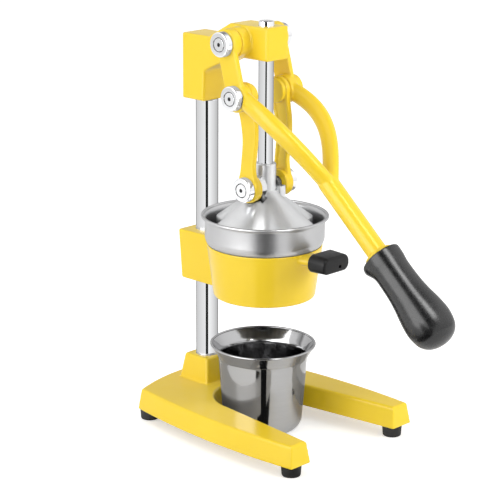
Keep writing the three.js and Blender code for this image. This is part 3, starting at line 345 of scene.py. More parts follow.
class Nodes:
    """Short words for building a node material."""

    def __init__(self, name):
        self.material = bpy.data.materials.new(name)
        self.material.use_nodes = True
        self.tree = self.material.node_tree
        self.shader = self.tree.nodes["Principled BSDF"]

    def add(self, kind, inputs=(), **settings):
        return add_node(self.tree, kind, inputs, **settings)

    def fixed(self, **values):
        for key, value in values.items():
            self.shader.inputs[key.replace("_", " ")].default_value = value

    def to(self, socket, name):
        self.tree.links.new(socket, self.shader.inputs[name])

    def place(self, scale):
        spot = self.add("ShaderNodeTexCoord").outputs["Object"]
        return self.add("ShaderNodeMapping", {"Vector": spot, "Scale": scale}).outputs["Vector"]

    def noise(self, place, scale, detail=2.0, roughness=0.5):
        return self.add("ShaderNodeTexNoise", {"Vector": place, "Scale": scale, "Detail": detail,
                                               "Roughness": roughness}).outputs["Fac"]

    def span(self, factor, low, high):
        return self.add("ShaderNodeMapRange", {"Value": factor, "From Min": 0.3, "From Max": 0.7,
                                               "To Min": low, "To Max": high}).outputs["Result"]

    def mixed(self, factor, first, second):
        node = self.add("ShaderNodeMix", data_type="RGBA")
        self.tree.links.new(factor, node.inputs["Factor"])
        node.inputs[6].default_value = first
        node.inputs[7].default_value = second
        return node.outputs[2]

    def mottled(self, factor, dark, light):
        """A colour that wanders between two."""
        return self.mixed(self.span(factor, 0, 1), (*dark, 1), (*light, 1))

    def grey_in_mirrors(self, colour, share, grey):
        """In bright metal the photograph shows paint and plastic as greys, so mirrors see them mostly
        without their hue."""
        glossy = self.add("ShaderNodeLightPath").outputs["Is Glossy Ray"]
        mirrored = maths(self.tree, "MULTIPLY", glossy, share)
        node = self.add("ShaderNodeMix", {0: mirrored, 6: colour}, data_type="RGBA")
        node.inputs[7].default_value = (grey, grey, grey, 1)
        return node.outputs[2]

    def bump(self, height, strength, distance, after=None):
        node = self.add("ShaderNodeBump", {"Height": height, "Strength": strength, "Distance": distance})
        if after is not None:
            self.tree.links.new(after, node.inputs["Normal"])
        return node.outputs["Normal"]


def yellow_paint():
    n = Nodes("yellow_paint")
    place = n.place((1, 1, 1))
    broad, fine = n.noise(place, 9, 3), n.noise(place, 700, 2)
    paint = n.mottled(broad, (0.87, 0.605, 0.012), (0.91, 0.65, 0.02))
    n.to(n.grey_in_mirrors(paint, 0.95, 0.45), "Base Color")
    n.to(n.span(n.noise(place, 60, 3), 0.34, 0.42), "Roughness")
    n.fixed(Coat_Weight=0.65, Coat_Roughness=0.22, Specular_IOR_Level=0.2)
    n.to(n.bump(fine, 0.05, 0.0003, n.bump(broad, 0.04, 0.002)), "Normal")
    return n.material


def chrome():
    n = Nodes("chrome")
    place = n.place((1, 1, 0.05))
    n.to(n.mottled(n.noise(place, 120, 3), (0.91, 0.915, 0.925), (0.94, 0.945, 0.955)), "Base Color")
    n.to(n.span(n.noise(place, 400, 2), 0.05, 0.11), "Roughness")
    n.fixed(Metallic=1.0)
    n.to(n.bump(n.noise(n.place((1, 1, 1)), 60, 2), 0.04, 0.0005), "Normal")
    return n.material


def steel(name, grey, low, high, anisotropic, line_depth):
    """Spun steel: fine rings round an upright axis, and a roughness that varies a little with them."""
    n = Nodes(name)
    rings = n.place((0.3, 0.3, 60))
    lines = n.noise(rings, 70, 4, 0.6)
    dark = (grey, grey, grey * 1.01)
    n.to(n.mottled(lines, dark, [value + 0.04 for value in dark]), "Base Color")
    n.to(n.span(n.noise(rings, 30, 3), low, high), "Roughness")
    n.fixed(Metallic=1.0, Anisotropic=anisotropic)
    n.to(n.add("ShaderNodeTangent", direction_type="RADIAL", axis="Z").outputs["Tangent"], "Tangent")
    n.to(n.bump(lines, line_depth, 0.0001), "Normal")
    return n.material


def cast_aluminium():
    n = Nodes("polished_aluminium")
    place = n.place((1, 1, 1))
    n.to(n.mottled(n.noise(place, 90, 4), (0.77, 0.775, 0.78), (0.83, 0.835, 0.84)), "Base Color")
    n.to(n.span(n.noise(place, 60, 3), 0.35, 0.4), "Roughness")
    n.fixed(Metallic=1.0)
    n.to(n.bump(n.noise(place, 350, 2), 0.02, 0.0002), "Normal")
    return n.material


def plain_steel():
    n = Nodes("plain_steel")
    place = n.place((1, 1, 1))
    n.to(n.mottled(n.noise(place, 300, 3), (0.36, 0.365, 0.37), (0.48, 0.485, 0.49)), "Base Color")
    n.to(n.span(n.noise(place, 500, 2), 0.25, 0.4), "Roughness")
    n.fixed(Metallic=1.0)
    n.to(n.bump(n.noise(place, 900, 2), 0.1, 0.0002), "Normal")
    return n.material


def black_plastic(name, low, high, specular):
    n = Nodes(name)
    place = n.place((1, 1, 1))
    black = n.mottled(n.noise(place, 30, 3), (0.003, 0.003, 0.0033), (0.006, 0.006, 0.0064))
    n.to(n.grey_in_mirrors(black, 0.85, 0.5), "Base Color")
    n.to(n.span(n.noise(place, 260, 3), low, high), "Roughness")
    n.fixed(Specular_IOR_Level=specular)
    n.to(n.bump(n.noise(place, 1500, 2), 0.03, 0.0002), "Normal")
    return n.material


def black_rubber():
    n = Nodes("black_rubber")
    place = n.place((1, 1, 1))
    n.to(n.mottled(n.noise(place, 90, 3), (0.012, 0.012, 0.012), (0.024, 0.024, 0.025)), "Base Color")
    n.to(n.span(n.noise(place, 300, 3), 0.6, 0.8), "Roughness")
    n.to(n.bump(n.noise(place, 1200, 3), 0.2, 0.0003), "Normal")
    return n.material


YELLOW, CHROME = yellow_paint(), chrome()
STEEL = steel("spun_steel", 0.54, 0.29, 0.31, 0.4, 0.004)
POLISHED = steel("polished_steel", 0.44, 0.08, 0.13, 0.3, 0.01)
BLACK, SATIN = black_plastic("black_plastic", 0.23, 0.3, 0.7), black_plastic("satin_black", 0.3, 0.38, 0.3)
ALUMINIUM, PLAIN, RUBBER_AND_GAP_SHADE = cast_aluminium(), plain_steel(), black_rubber()

SLOTS = {"yellow_paint": YELLOW, "chrome": CHROME, "brushed_steel": STEEL, "cast_aluminium": ALUMINIUM,
         "plain_steel": PLAIN, "black_plastic": BLACK, "black_rubber": RUBBER_AND_GAP_SHADE}
for part in frame["record"]["subparts"]:
    node = frame["nodes"][part["node"]]
    node.data.materials.clear()
    node.data.materials.append(SLOTS[part["material_slot"]])


# Base, feet and column

FEET = {"front_left": (-72.6, -105), "front_right": (72.6, -105),
        "rear_left": (-63, 97), "rear_right": (63, 97)}
BASE_LOW, BASE_HEIGHT = 12.0, 21.4
BASE_TOP = BASE_LOW + BASE_HEIGHT
COLUMN_SEAT = BASE_LOW + 9


def base_outline(steps=16):
    """The base at its top: a bowed rear, two legs with bowed outer sides, and a round bay between them."""
    corner, bow, toe, toe_inside, bay = (73, 98), (94, -8), (83, -114.3), (62.4, -114.3), 49
    rear = 118 - (118 - corner[1]) / 4

    def quadratic(a, b, c):
        return [tuple((1 - t) ** 2 * a[n] + 2 * t * (1 - t) * b[n] + t * t * c[n] for n in (0, 1))
                for t in (i / steps for i in range(steps))]
    right = quadratic((0, rear), (corner[0] / 2, rear), corner) + quadratic(corner, bow, toe)
    right += [toe, toe_inside]
    right += [(bay * math.cos(a), bay * math.sin(a)) for a in (math.pi / 2 * i / 24 for i in range(25))]
    left = [(-x, y) for x, y in right[1:-1]][::-1]
    return (right + left)[::-1]


def make_base():
    draft, wall, plate, socket_height = 3.3, 5, 7, 25.2
    outline = base_outline()
    body = lofted([at_height(grown(outline, draft * (BASE_TOP - z) / BASE_HEIGHT - inset), z)
                   for z, inset in rounded_levels(BASE_LOW, BASE_TOP, 0, 2.0)])
    top = BASE_TOP + socket_height
    socket = []
    for z, inset in [(BASE_TOP - 3.5, 0)] + rounded_levels(BASE_TOP, top, 0, 1.8):
        half = 20 - 4 * max(0, z - BASE_TOP) / socket_height - inset
        socket.append([(x, y + COLUMN_Y, z) for x, y in rounded_rectangle(half, half, 2.6 - inset)])
    base = cast("base", [body, lofted(socket)], 0.9, 5)
    hollow_low = at_height(grown(outline, draft - wall), BASE_LOW - 1)
    hollow_high = at_height(grown(outline, draft * plate / BASE_HEIGHT - wall), BASE_TOP - plate)
    hollow = mesh_object("hollow", [lofted([hollow_low, hollow_high])])
    cut(hollow, [upright(y, BASE_LOW - 2, BASE_TOP, 12, 40, x) for x, y in FEET.values()])
    cut(hollow, [upright(COLUMN_Y, BASE_LOW - 2, BASE_TOP, 24)])
    combine(base, hollow)
    cut(base, [upright(y, BASE_LOW - 1, BASE_LOW + 12.3, FOOT_SCREW_R, 24, x) for x, y in FEET.values()])
    cut(base, [upright(COLUMN_Y, COLUMN_SEAT, top + 1, COLUMN_R + GAP, 96),
               upright(COLUMN_Y, BASE_LOW - 1, top, BOLT_R, 32),
               upright(COLUMN_Y, BASE_LOW - 1, BASE_LOW + 6.1, 10.6)])
    return dressed(base, "frame", YELLOW, "base_casting", smooth=50)


def make_feet():
    profile = [(FOOT_SCREW_R, 11.7), (FOOT_SCREW_R, 6), (5.5, 6), (5.5, 0.4), (5.9, 0), (8, 0), (8.6, 0.3),
               (9, 1), (9.25, 4), (9.55, 8), (9.8, 11.0), (9.6, 11.7)]
    for place, spot in FEET.items():
        foot = mesh_object("rubber_foot_" + place, [turned(profile, 64, spot)])
        dressed(foot, "frame", RUBBER_AND_GAP_SHADE, "foot_" + place)


def make_column():
    bottom, shoulder, bolt_end = COLUMN_SEAT + GAP, HEAD_BOTTOM - GAP, 18.6
    profile = [(BOLT_R, bottom), (COLUMN_R - 0.6, bottom), (COLUMN_R, bottom + 0.6),
               (COLUMN_R, shoulder - 0.5), (COLUMN_R - 0.5, shoulder), (SPIGOT_R, shoulder),
               (SPIGOT_R, shoulder + 43.4), (7.4, shoulder + 44), (0, shoulder + 44),
               (0, bottom + bolt_end), (BOLT_R, bottom + bolt_end)]
    column = mesh_object("column_bar", [turned(profile, 128, (0, COLUMN_Y))])
    dressed(column, "frame", CHROME, "column", smooth=30)


# Ring, knob, bowl and strainer

def ring_draft_radius(z, inset=0.0):
    return RING_R - inset - (RING_R - RING_BOTTOM_R) / RING_HEIGHT * (RING_TOP - z)


def cone_z(radius):
    """The height of the bowl's cone at a radius, as it lies on the ring's lip."""
    return RING_TOP - (RING_R - RING_LIP - radius) + GAP / math.cos(math.radians(45))


def make_ring():
    edge, stub_half = 1.6, 5.6
    stub_z = RING_TOP - stub_half
    wall = turned([(0, RING_BOTTOM)]
                  + [(RING_BOTTOM_R - edge * (1 - math.sin(a)), RING_BOTTOM + edge * (1 - math.cos(a)))
                     for a in (math.pi / 2 * i / 5 for i in range(6))]
                  + [(RING_R - 0.3, RING_TOP - 0.6), (RING_R - 0.6, RING_TOP), (0, RING_TOP)], 160)
    rear = COLUMN_Y + COLUMN_R + 7.2
    depth = rear - RING_BOTTOM_R / 2
    sleeve = []
    for z, inset in rounded_levels(RING_BOTTOM, RING_TOP - GAP, edge, edge):
        taper = 4.2 * (RING_TOP - z) / RING_HEIGHT
        sleeve.append([(x, y + rear - depth / 2, z) for x, y in
                       rounded_rectangle(COLUMN_R + 11.6 - taper - inset, depth / 2 - inset, 2.4 - inset)])
    stub = []
    for k in range(13):
        t = k / 12
        reach = RING_R - RING_WALL + (KNOB_REACH + RING_WALL - GAP) * t
        half_width = 9 + 5 * (1 - t) ** 3
        stub.append([(-half_width * x, -reach, stub_z + stub_half * z) for x, z in circle(1, 48)])
    ring = cast("ring", [wall, lofted(sleeve), lofted(stub)], 0.8, 7)
    seat = RING_TOP - (RING_WALL - RING_LIP) / (1 - (RING_R - RING_BOTTOM_R) / RING_HEIGHT)
    inside = turned([(0, RING_BOTTOM - 1), (ring_draft_radius(RING_BOTTOM - 1, RING_WALL), RING_BOTTOM - 1),
                     (ring_draft_radius(seat, RING_WALL), seat), (RING_R - RING_LIP, RING_TOP),
                     (RING_R - RING_LIP, RING_TOP + 2), (0, RING_TOP + 2)], 160)
    middle = RING_BOTTOM + RING_HEIGHT / 2
    cut(ring, [inside, upright(COLUMN_Y, RING_BOTTOM - 1, RING_TOP + 2, COLUMN_R + GAP, 96),
               bar((0, COLUMN_Y + COLUMN_R - 1, middle), (0, rear + 2, middle), SET_SCREW_R, 40),
               bar((KNOB_SCREW_X, -60, KNOB_SCREW_Z), (KNOB_SCREW_X, -95, KNOB_SCREW_Z), KNOB_SCREW_R, 24)])
    return dressed(ring, "frame", YELLOW, "ring_bracket", smooth=50)


def make_knob():
    back, length = RING_R + KNOB_REACH, 20.4
    front = back + length
    outlines = []
    for reach, inset in rounded_levels(back, front, 1.2, 2.4, 7):
        inset += 0.9 * (reach - back) / length
        outline = rounded_rectangle(18.8 - inset, 8.8 - inset, 8 - inset, 12)
        outlines.append([(x, -reach, RING_TOP - 3.4 + z) for x, z in outline])
    knob = mesh_object("knob", [lofted(outlines)])
    cut(knob, [bar((KNOB_SCREW_X, -(front - 32.8), KNOB_SCREW_Z), (KNOB_SCREW_X, -front - 1, KNOB_SCREW_Z),
                   KNOB_SCREW_R, 32)])
    return dressed(knob, "frame", SATIN, "ring_knob", smooth=50)


def make_bowl():
    corner, spout, slant = 12, 12, math.radians(45)
    corner_z = cone_z(BOWL_R - corner + corner * math.sin(slant)) + corner * math.cos(slant)
    spout_top = cone_z(spout)
    path = [(spout, spout_top - 7), (spout, spout_top - 1.2), (spout + 0.25, spout_top - 0.3),
            (spout + 0.8, spout_top + 0.8)]
    path += arc(BOWL_R - corner, corner_z, corner, -45, 0)
    path += [(BOWL_R, BOWL_RIM - 4.4), (BOWL_R + 0.2, BOWL_RIM - 3.2), (BOWL_R + 0.8, BOWL_RIM - 2.2),
             (BOWL_R + 1.7, BOWL_RIM - 1.5)]
    bowl = mesh_object("funnel_bowl", [turned(sheet_profile(path, 1.2, 1.5), 192)])
    dressed(bowl, "frame", STEEL, "bowl", smooth=45)


def make_strainer():
    radius, sheet, cone_r, slot_half = BOWL_R - 10.9, 1.2, 23, 1.4
    low = cone_z(radius) + (sheet + GAP) / math.cos(math.radians(45))
    high = low + sheet
    tip = high + 30

    def ribbed(base):
        """A circle with eight shallow hollows."""
        outline = []
        for a in (2 * math.pi * i / 128 for i in range(128)):
            r = base * (1 - 0.06 * (1 - math.cos(8 * a)))
            outline.append((r * math.cos(a), r * math.sin(a)))
        return outline
    stations = [(low, cone_r), (high, cone_r)]
    stations += [(high + 28.5 * t, cone_r - 20 * t) for t in (0.25, 0.5, 0.75, 1)] + [(tip, 1.5)]
    obj = mesh_object("strainer_plate", [turned([(0, low), (radius, low), (radius, high), (0, high)], 128)])
    cut(obj, [lofted([at_height(ribbed(r), z) for z, r in stations])], "UNION")
    cut(obj, [turned([(0, low - 1), (19, low - 1), (19, low), (0, tip - 3.6)], 64)])
    slots = []
    inner, outer = 26.5, radius - 3.5
    for a in (2 * math.pi * i / 16 for i in range(16)):
        along, across = Vector((math.cos(a), math.sin(a), 0)), Vector((-math.sin(a), math.cos(a), 0))
        slot = [along * inner + across * slot_half * math.cos(b) + along * slot_half * (1 + math.sin(b))
                for b in (math.pi * (1 + k / 6) for k in range(7))]
        slot += [along * outer + across * slot_half * math.cos(b) - along * slot_half * (1 - math.sin(b))
                 for b in (math.pi * k / 6 for k in range(7))]
        slots.append(lofted([[p + Vector((0, 0, z)) for p in slot] for z in (low - 1, high + 1)]))
    cut(obj, slots)
    return dressed(obj, "frame", STEEL, "strainer", smooth=40)


# Head

def make_head():
    half, rear_half, edge = 14.6, 16.4, 1.6
    front, rear_front, rear = ROD_R + 7.4, COLUMN_Y - SPIGOT_R - 2.6, COLUMN_Y + SPIGOT_R + 9.9
    under, rear_top, slope_start = HEAD_Z - 15.7, HEAD_Z - 0.3, 48.2 - front
    arch = curve_through([(COLUMN_Y - 62, under), (COLUMN_Y - 46, HEAD_Z - 18.4),
                          (COLUMN_Y - 33.4, HEAD_Z - 24), (rear_front - 3.4, HEAD_Z - 33.2),
                          (rear_front - 0.6, HEAD_Z - 38)], 5)
    profile = [(-front, under)] + arch
    profile += [(rear_front, HEAD_BOTTOM), (rear, HEAD_BOTTOM), (rear, rear_top),
                (slope_start + 28.3, rear_top), (slope_start, HEAD_TOP), (-front, HEAD_TOP)]
    widening = (rear_half - half) / (rear + front)
    outlines = []
    for level, inset in rounded_levels(-half, half, edge, edge):
        side = grown(profile, -inset)
        outlines.append([(level * (half + widening * (y + front)) / half, y, z) for y, z in side])
    boss = crosswise(SETBACK, HEAD_Z, -LINK_OUT, LINK_OUT, 14.5, 96, 1.0)
    head = cast("head", [lofted(outlines), boss], 0.8, 7)
    cut(head, [crosswise(SETBACK, HEAD_Z, -LINK_OUT - 1, LINK_OUT + 1, PIN_R + GAP),
               upright(0, HEAD_Z - 18, HEAD_TOP + 1, ROD_R + GAP),
               upright(COLUMN_Y, HEAD_BOTTOM - 1, HEAD_BOTTOM + 44.3, SPIGOT_R + GAP),
               bar((0, COLUMN_Y, HEAD_BOTTOM + 22), (0, rear + 1, HEAD_BOTTOM + 22), SET_SCREW_R, 40)])
    return dressed(head, "frame", YELLOW, "head_casting", smooth=50)


# Lever and grip

def on_lever(x, along, rise):
    """A point in the lever's own directions: across, along it from the elbow, and above its line."""
    forward = along * math.cos(DROP) + rise * math.sin(DROP)
    down = along * math.sin(DROP) - rise * math.cos(DROP)
    return Vector((x, ELBOW_Y - forward, ELBOW_Z - down))


def on_stem(along):
    return on_lever(0, along, STEM_RISE)


def bezier(points, t):
    a, b, c, d = points
    return a * (1 - t) ** 3 + b * 3 * t * (1 - t) ** 2 + c * 3 * t * t * (1 - t) + d * t ** 3


def bezier_way(points, t):
    a, b, c, d = points
    return ((b - a) * (1 - t) ** 2 + (c - b) * 2 * t * (1 - t) + (d - c) * t * t).normalized()


def lever_arm(side):
    """One bowed arm, from its ear at the elbow to where the two join."""
    middle = (LEVER_IN + LEVER_OUT) / 2
    controls = [on_lever(side * middle * spread, ARM_LENGTH * along, ARM_LENGTH * rise)
                for along, rise, spread in
                ((0.03, 0.027, 1), (0.453, 0.217, 1.363), (0.735, 0.118, 0.565), (1, 0.024, 0.03))]
    wide, end, ear, half_height = 7.4, 6.2, 5.25, 9.2
    outlines = []
    for t in (k / 40 for k in range(41)):
        half = wide + (end - wide) * t + (ear - wide) * max(0, 1 - 3 * t)
        along = bezier_way(controls, t)
        across = (Vector((1, 0, 0)) - along * along.x).normalized()
        up = along.cross(across)
        centre = bezier(controls, t)
        outlines.append([centre + across * half * x + up * half_height * y for x, y in circle(1, 36)])
    return lofted(outlines)


def make_yoke():
    plate, stem_r, stem_end = 5.3, 9.8, GRIP_START - GAP
    eyes = ((SETBACK, HEAD_Z), (ELBOW_Y, ELBOW_Z))
    solids = []
    for side in (-1, 1):
        inner, outer = side * LEVER_IN, side * LEVER_OUT
        solids += [crosswise(y, z, inner, outer, 14, 96, 0.8) for y, z in eyes]
        turn = Matrix.Rotation(-LEAN, 3, "X")
        middle = Vector((outer - side * plate / 2, (SETBACK + ELBOW_Y) / 2, (HEAD_Z + ELBOW_Z) / 2))
        section = rounded_rectangle(plate / 2, 11, 0.8, 4)
        solids.append(lofted([[middle + turn @ Vector((x, y, z)) for x, y in section]
                              for z in (-CRANK / 2, CRANK / 2)]))
        solids.append(lever_arm(side))
    stem = [(ARM_LENGTH * 0.88 + 12 * (1 - math.cos(a)), stem_r * math.sin(a))
            for a in (math.pi / 2 * k / 9 for k in range(1, 10))]
    stem.append((stem_end, stem_r))
    solids.append(lofted([[on_lever(x, along, STEM_RISE + rise) for x, rise in circle(r, 48)]
                          for along, r in stem]))
    solids.append(bar(on_stem(stem_end - 3.4), on_stem(stem_end), 14.2, 64, 1.2))
    yoke = cast("yoke", solids, 0.75, 9)
    cut(yoke, [bar(on_stem(GRIP_START - 3), on_stem(GRIP_START + TANG_LENGTH), TANG_R, 48)], "UNION")
    cut(yoke, [crosswise(y, z, -LEVER_OUT - 1, LEVER_OUT + 1, PIN_R + GAP) for y, z in eyes])
    cut(yoke, [crosswise(ELBOW_Y, ELBOW_Z, side * LEVER_OUT, side * (LEVER_OUT + CAP_HEIGHT), CAP_R + 0.8, 64)
               for side in (-1, 1)])
    return dressed(yoke, "lever", YELLOW, "lever_yoke", smooth=50)


def make_grip():
    widest, length, lift, lip_depth = 22.25, 100.6, 1.4, 5.2
    shares = [(0, 0.79), (0.012, 0.815), (0.05, 0.815), (0.1, 0.805), (0.14, 0.781), (0.19, 0.763),
              (0.3, 0.77), (0.4, 0.795), (0.5, 0.85), (0.6, 0.93), (0.69, 0.985), (0.77, 1), (0.85, 0.946),
              (0.9, 0.87), (0.94, 0.74), (0.97, 0.563), (0.99, 0.33), (1, 0.08)]
    outlines = []
    for along, share in curve_through(shares, 5):
        near_lip = math.exp(-(((along - 0.035) / 0.065) ** 2))
        ring = []
        for a in (2 * math.pi * i / 72 for i in range(72)):
            lip = lip_depth * max(0, -math.sin(a)) * near_lip
            ring.append(on_lever(widest * share * math.cos(a), GRIP_START + along * length,
                                 STEM_RISE + lift + widest * share * math.sin(a) - lip))
        outlines.append(ring)
    grip = mesh_object("grip", [lofted(outlines)])
    cut(grip, [bar(on_stem(GRIP_START - 1), on_stem(GRIP_START + TANG_LENGTH + GAP), TANG_R + GAP, 48)])
    return dressed(grip, "lever", BLACK, "handle_grip", smooth=50)


# Plunger and rod

def make_plunger():
    radius, rim, bottom, waist, edge = BOWL_R - 5.2, PLUNGER_RIM, PLUNGER_RIM - 20, 15, 1.5
    slope = math.tan(math.radians(36))
    depth = 0.2

    def lobes(r, share):
        """A circle with four flutes on the diagonals, as deep as a share of its radius."""
        outline = []
        for a in (2 * math.pi * i / 192 for i in range(192)):
            reach = r * (1 - share * abs(math.sin(2 * a)) ** 5)
            outline.append((reach * math.cos(a), reach * math.sin(a)))
        return outline
    stations = [(bottom, radius - edge, depth), (bottom + edge, radius, depth), (rim - 1.2, radius, depth),
                (rim + 0.4, radius - 0.5, depth), (rim + edge * slope, radius - edge, depth)]
    for t in (k / 24 for k in range(1, 25)):
        r = radius - edge + (waist - radius + edge) * t
        stations.append((rim + (radius - r) * slope, r, depth - 0.1 * t))
    stations.append((rim + (radius - waist) * slope + 4.7, 10, 0))
    cone = lofted([at_height(lobes(r, share), z) for z, r, share in stations])
    hub_levels = ((HOLLOW_TOP, 10.3), (HUB_TOP - 0.8, 10.3), (HUB_TOP, 9.6))
    hub = lofted([at_height(circle(r, 64), z) for z, r in hub_levels])
    ears = []
    for side in (-1, 1):
        low, high = side * (EAR_X - 6.6), side * EAR_X
        ears.append(crosswise(0, LOWER_Z, low, high, 12, 72, 0.6))
        x = (low + high) / 2
        ears.append(lofted([[(x + px, py, z) for px, py in rounded_rectangle(3.3, 11.9, 0.8, 4)]
                            for z in (rim + 8.5, LOWER_Z - 1)]))
    hollow_r = radius * 0.8 - 4.5
    hollow = turned([(0, bottom - 1), (hollow_r, bottom - 1), (hollow_r, rim - 2.25), (7.5, HOLLOW_TOP),
                     (0, HOLLOW_TOP)], 96)
    rod_hole = upright(0, HOLLOW_TOP + 8, HUB_TOP + 1, ROD_R + GAP)
    bolt_hole = upright(0, HOLLOW_TOP - 1, HOLLOW_TOP + 9, ROD_BOLT_R, 32)
    pins = [crosswise(0, LOWER_Z, side * (EAR_X - 4.9), side * (EAR_X + 1), PIN_R + GAP) for side in (-1, 1)]
    room = [crosswise(0, LOWER_Z, side * EAR_X, side * (LEVER_IN + 0.3), LINK_BOSS + 0.8, 72)
            for side in (-1, 1)]
    plunger = cut(mesh_object("plunger_cone", [cone]), [hollow, rod_hole, bolt_hole] + room)
    cut(plunger, [solid_of(cut(mesh_object("hub", [hub]), [rod_hole, bolt_hole]))], "UNION")
    for i, ear in enumerate(ears):
        cut(plunger, [solid_of(cut(mesh_object("ear", [ear]), [rod_hole, pins[i // 2]]))], "UNION")
    dressed(plunger, "plunger", ALUMINIUM, "plunger", smooth=35)


def make_rod():
    bottom, top, bolt_end = HOLLOW_TOP + 8 + GAP, HEAD_TOP + 4.58, 10.3
    rod = turned([(ROD_BOLT_R, bottom), (ROD_R - 0.4, bottom), (ROD_R, bottom + 0.4), (ROD_R, top - 0.9),
                  (ROD_R - 0.3, top - 0.3), (ROD_R - 0.9, top), (0, top), (0, bottom + bolt_end),
                  (ROD_BOLT_R, bottom + bolt_end)], 96)
    dressed(mesh_object("rod", [rod]), "plunger", CHROME, "guide_rod", smooth=30)


# Links

def link_outline(steps=24):
    """Round both bosses, with a bowed waist in between. Sides are in shares of the link and of its boss."""
    rear = [(0.18, -0.59), (0.31, -0.43), (0.53, -0.24), (0.74, -0.37), (0.87, -0.62)]
    front = [(0.87, 0.97), (0.7, 1.08), (0.52, 1.02), (0.36, 0.84), (0.23, 0.7)]
    lower, upper = arc(0, 0, LINK_BOSS, 55, 305, steps), arc(LINK, 0, LINK_BOSS, -115, 100, steps)

    def waist(start, shares, end):
        return curve_through([start] + [(a * LINK, b * LINK_BOSS) for a, b in shares] + [end], 6)[1:-1]
    return lower + waist(lower[-1], rear, upper[0]) + upper + waist(upper[-1], front, lower[0])


def make_link(name, side):
    web, boss_thick = 4.1, 8.7
    lean = math.atan2(ELBOW_Y, ELBOW_Z - LOWER_Z)
    up, forward = Vector((0, math.sin(lean), math.cos(lean))), Vector((0, -math.cos(lean), math.sin(lean)))
    origin = Vector((side * LINK_IN, 0, LOWER_Z))

    def put(x, y, z):
        return origin + up * x + forward * y + Vector((side * z, 0, 0))

    def across(x, start, end, radius, sides=48, edge=0.0):
        return bar(put(x, 0, start), put(x, 0, end), radius, sides, edge)
    outline = link_outline()
    body = lofted([[put(x, y, z) for x, y in grown(outline, -inset)]
                   for z, inset in rounded_levels(web, LINK_THICK, 0.6, 1.4)])
    link = mesh_object(name, [body])
    cut(link, [lofted([[put(x, y, z) for x, y in grown(outline, -inset)]
                       for z, inset in ((-1, 3), (web + 1.6, 3.5))])])
    bosses = [across(0, 0, boss_thick, 13, 96, 0.8), across(LINK, 0, boss_thick, 11.8, 96, 0.8)]
    link = cast("cast_" + name, [solid_of(link)] + bosses, 0.6, 5)
    cut(link, [across(0, -1, 11, PIN_R + GAP), across(LINK, 3.2, 11, PIN_R + GAP)])
    return dressed(link, name, YELLOW, name, smooth=50)


# Caps and their screws

def make_caps():
    spots = (("head", "frame", LEVER_OUT + GAP, SETBACK, HEAD_Z),
             ("elbow", "lever", LEVER_OUT + GAP, ELBOW_Y, ELBOW_Z),
             ("link", "plunger", LINK_OUT + GAP, 0, LOWER_Z))
    cap = [(3.3, 0), (11.3, 0), (CAP_R, 0.5), (CAP_R, 5.7), (11.74, 6.1), (11.5, 6.47), (11.15, 6.75),
           (10.8, 6.88), (10.6, CAP_HEIGHT), (7.35, CAP_HEIGHT), (7.15, CAP_HEIGHT), (6.95, 6.7), (6.95, 3.6),
           (3.3, 3.6)]
    screw = [(0, -7.5), (2.6, -7.5), (3, -7.1), (3, 3.9), (6, 3.9), (6.3, 4.2), (6.3, 6.6), (6.1, 6.85),
             (5.9, CAP_HEIGHT), (5.7, CAP_HEIGHT), (0, CAP_HEIGHT)]

    def paint_gap_shade(obj, along, within, below):
        """Painted shade: the narrow gap between cap and screw, and the screw's socket, lie in their own
        shade, so their walls get the black rubber material as painted shade.
        """
        # Black rubber stands in here as painted shade on the walls of the gap or socket.
        obj.data.materials.append(RUBBER_AND_GAP_SHADE)
        for face in obj.data.polygons:
            spot = face.center / MM - Vector((along[0], along[1] + SHIFT_Y, along[2]))
            if within[0] < math.hypot(spot.y, spot.z) < within[1] and abs(spot.x) < below:
                face.material_index = 1
    for label, body, face_x, y, z in spots:
        for side_name, side in (("left", -1), ("right", 1)):
            turn = Matrix.Rotation(side * math.pi / 2, 3, "Y")
            origin = Vector((side * face_x, y, z))

            def put(solid):
                return [origin + turn @ v for v in solid[0]], solid[1]
            name = f"{label}_cap_{side_name}"
            shell = mesh_object("pivot_" + name, [put(turned(cap, 96))])
            # Painted shade: the walls of the gap between cap and screw, and the screw's hex socket, are made
            # black.
            paint_gap_shade(dressed(shell, body, CHROME, name, smooth=30), origin, (2, 6.97), 6.6)
            head = mesh_object(f"{label}_screw_{side_name}", [put(turned(screw, 72))])
            cut(head, [put(bar((0, 0, 4.9), (0, 0, 8), 2.1, 6))])
            dressed(head, body, CHROME, f"{label}_cap_screw_{side_name}", smooth=30)
            paint_gap_shade(head, origin, (6.1, 6.5), 6.5)
            paint_gap_shade(head, origin, (0, 2.15), 6.5)


# Juice cup

def make_cup():
    height, brim, bead, wall_r, wall_top, cup_y = 88, 53, 1.1, 43.4, 71, 1.3
    flare_r, flare_top = brim - 2 * bead, height - 2 * bead
    flare = [(wall_r + (flare_r - wall_r) * out, wall_top + (flare_top - wall_top) * up)
             for out, up in ((0.16, 0.28), (0.55, 0.62))]
    path = [(0, 0), (10, 0)] + arc(27, 12, 12, -90, 0, 12)
    path += curve_through([(39, 12), (41.2, 41), (wall_r, wall_top)] + flare + [(flare_r, flare_top)], 6)[1:]
    cup = mesh_object("steel_cup", [turned(sheet_profile(path, 1.2, bead), 192, (0, cup_y))])
    return dressed(cup, "cup", POLISHED, "juice_cup", smooth=45)


make_base()
make_feet()
make_column()
make_ring()
make_knob()
make_bowl()
make_strainer()
make_head()
make_yoke()
make_grip()
make_plunger()
make_rod()
make_link("link_left", -1)
make_link("link_right", 1)
make_caps()
make_cup()


# Floor, lights and camera

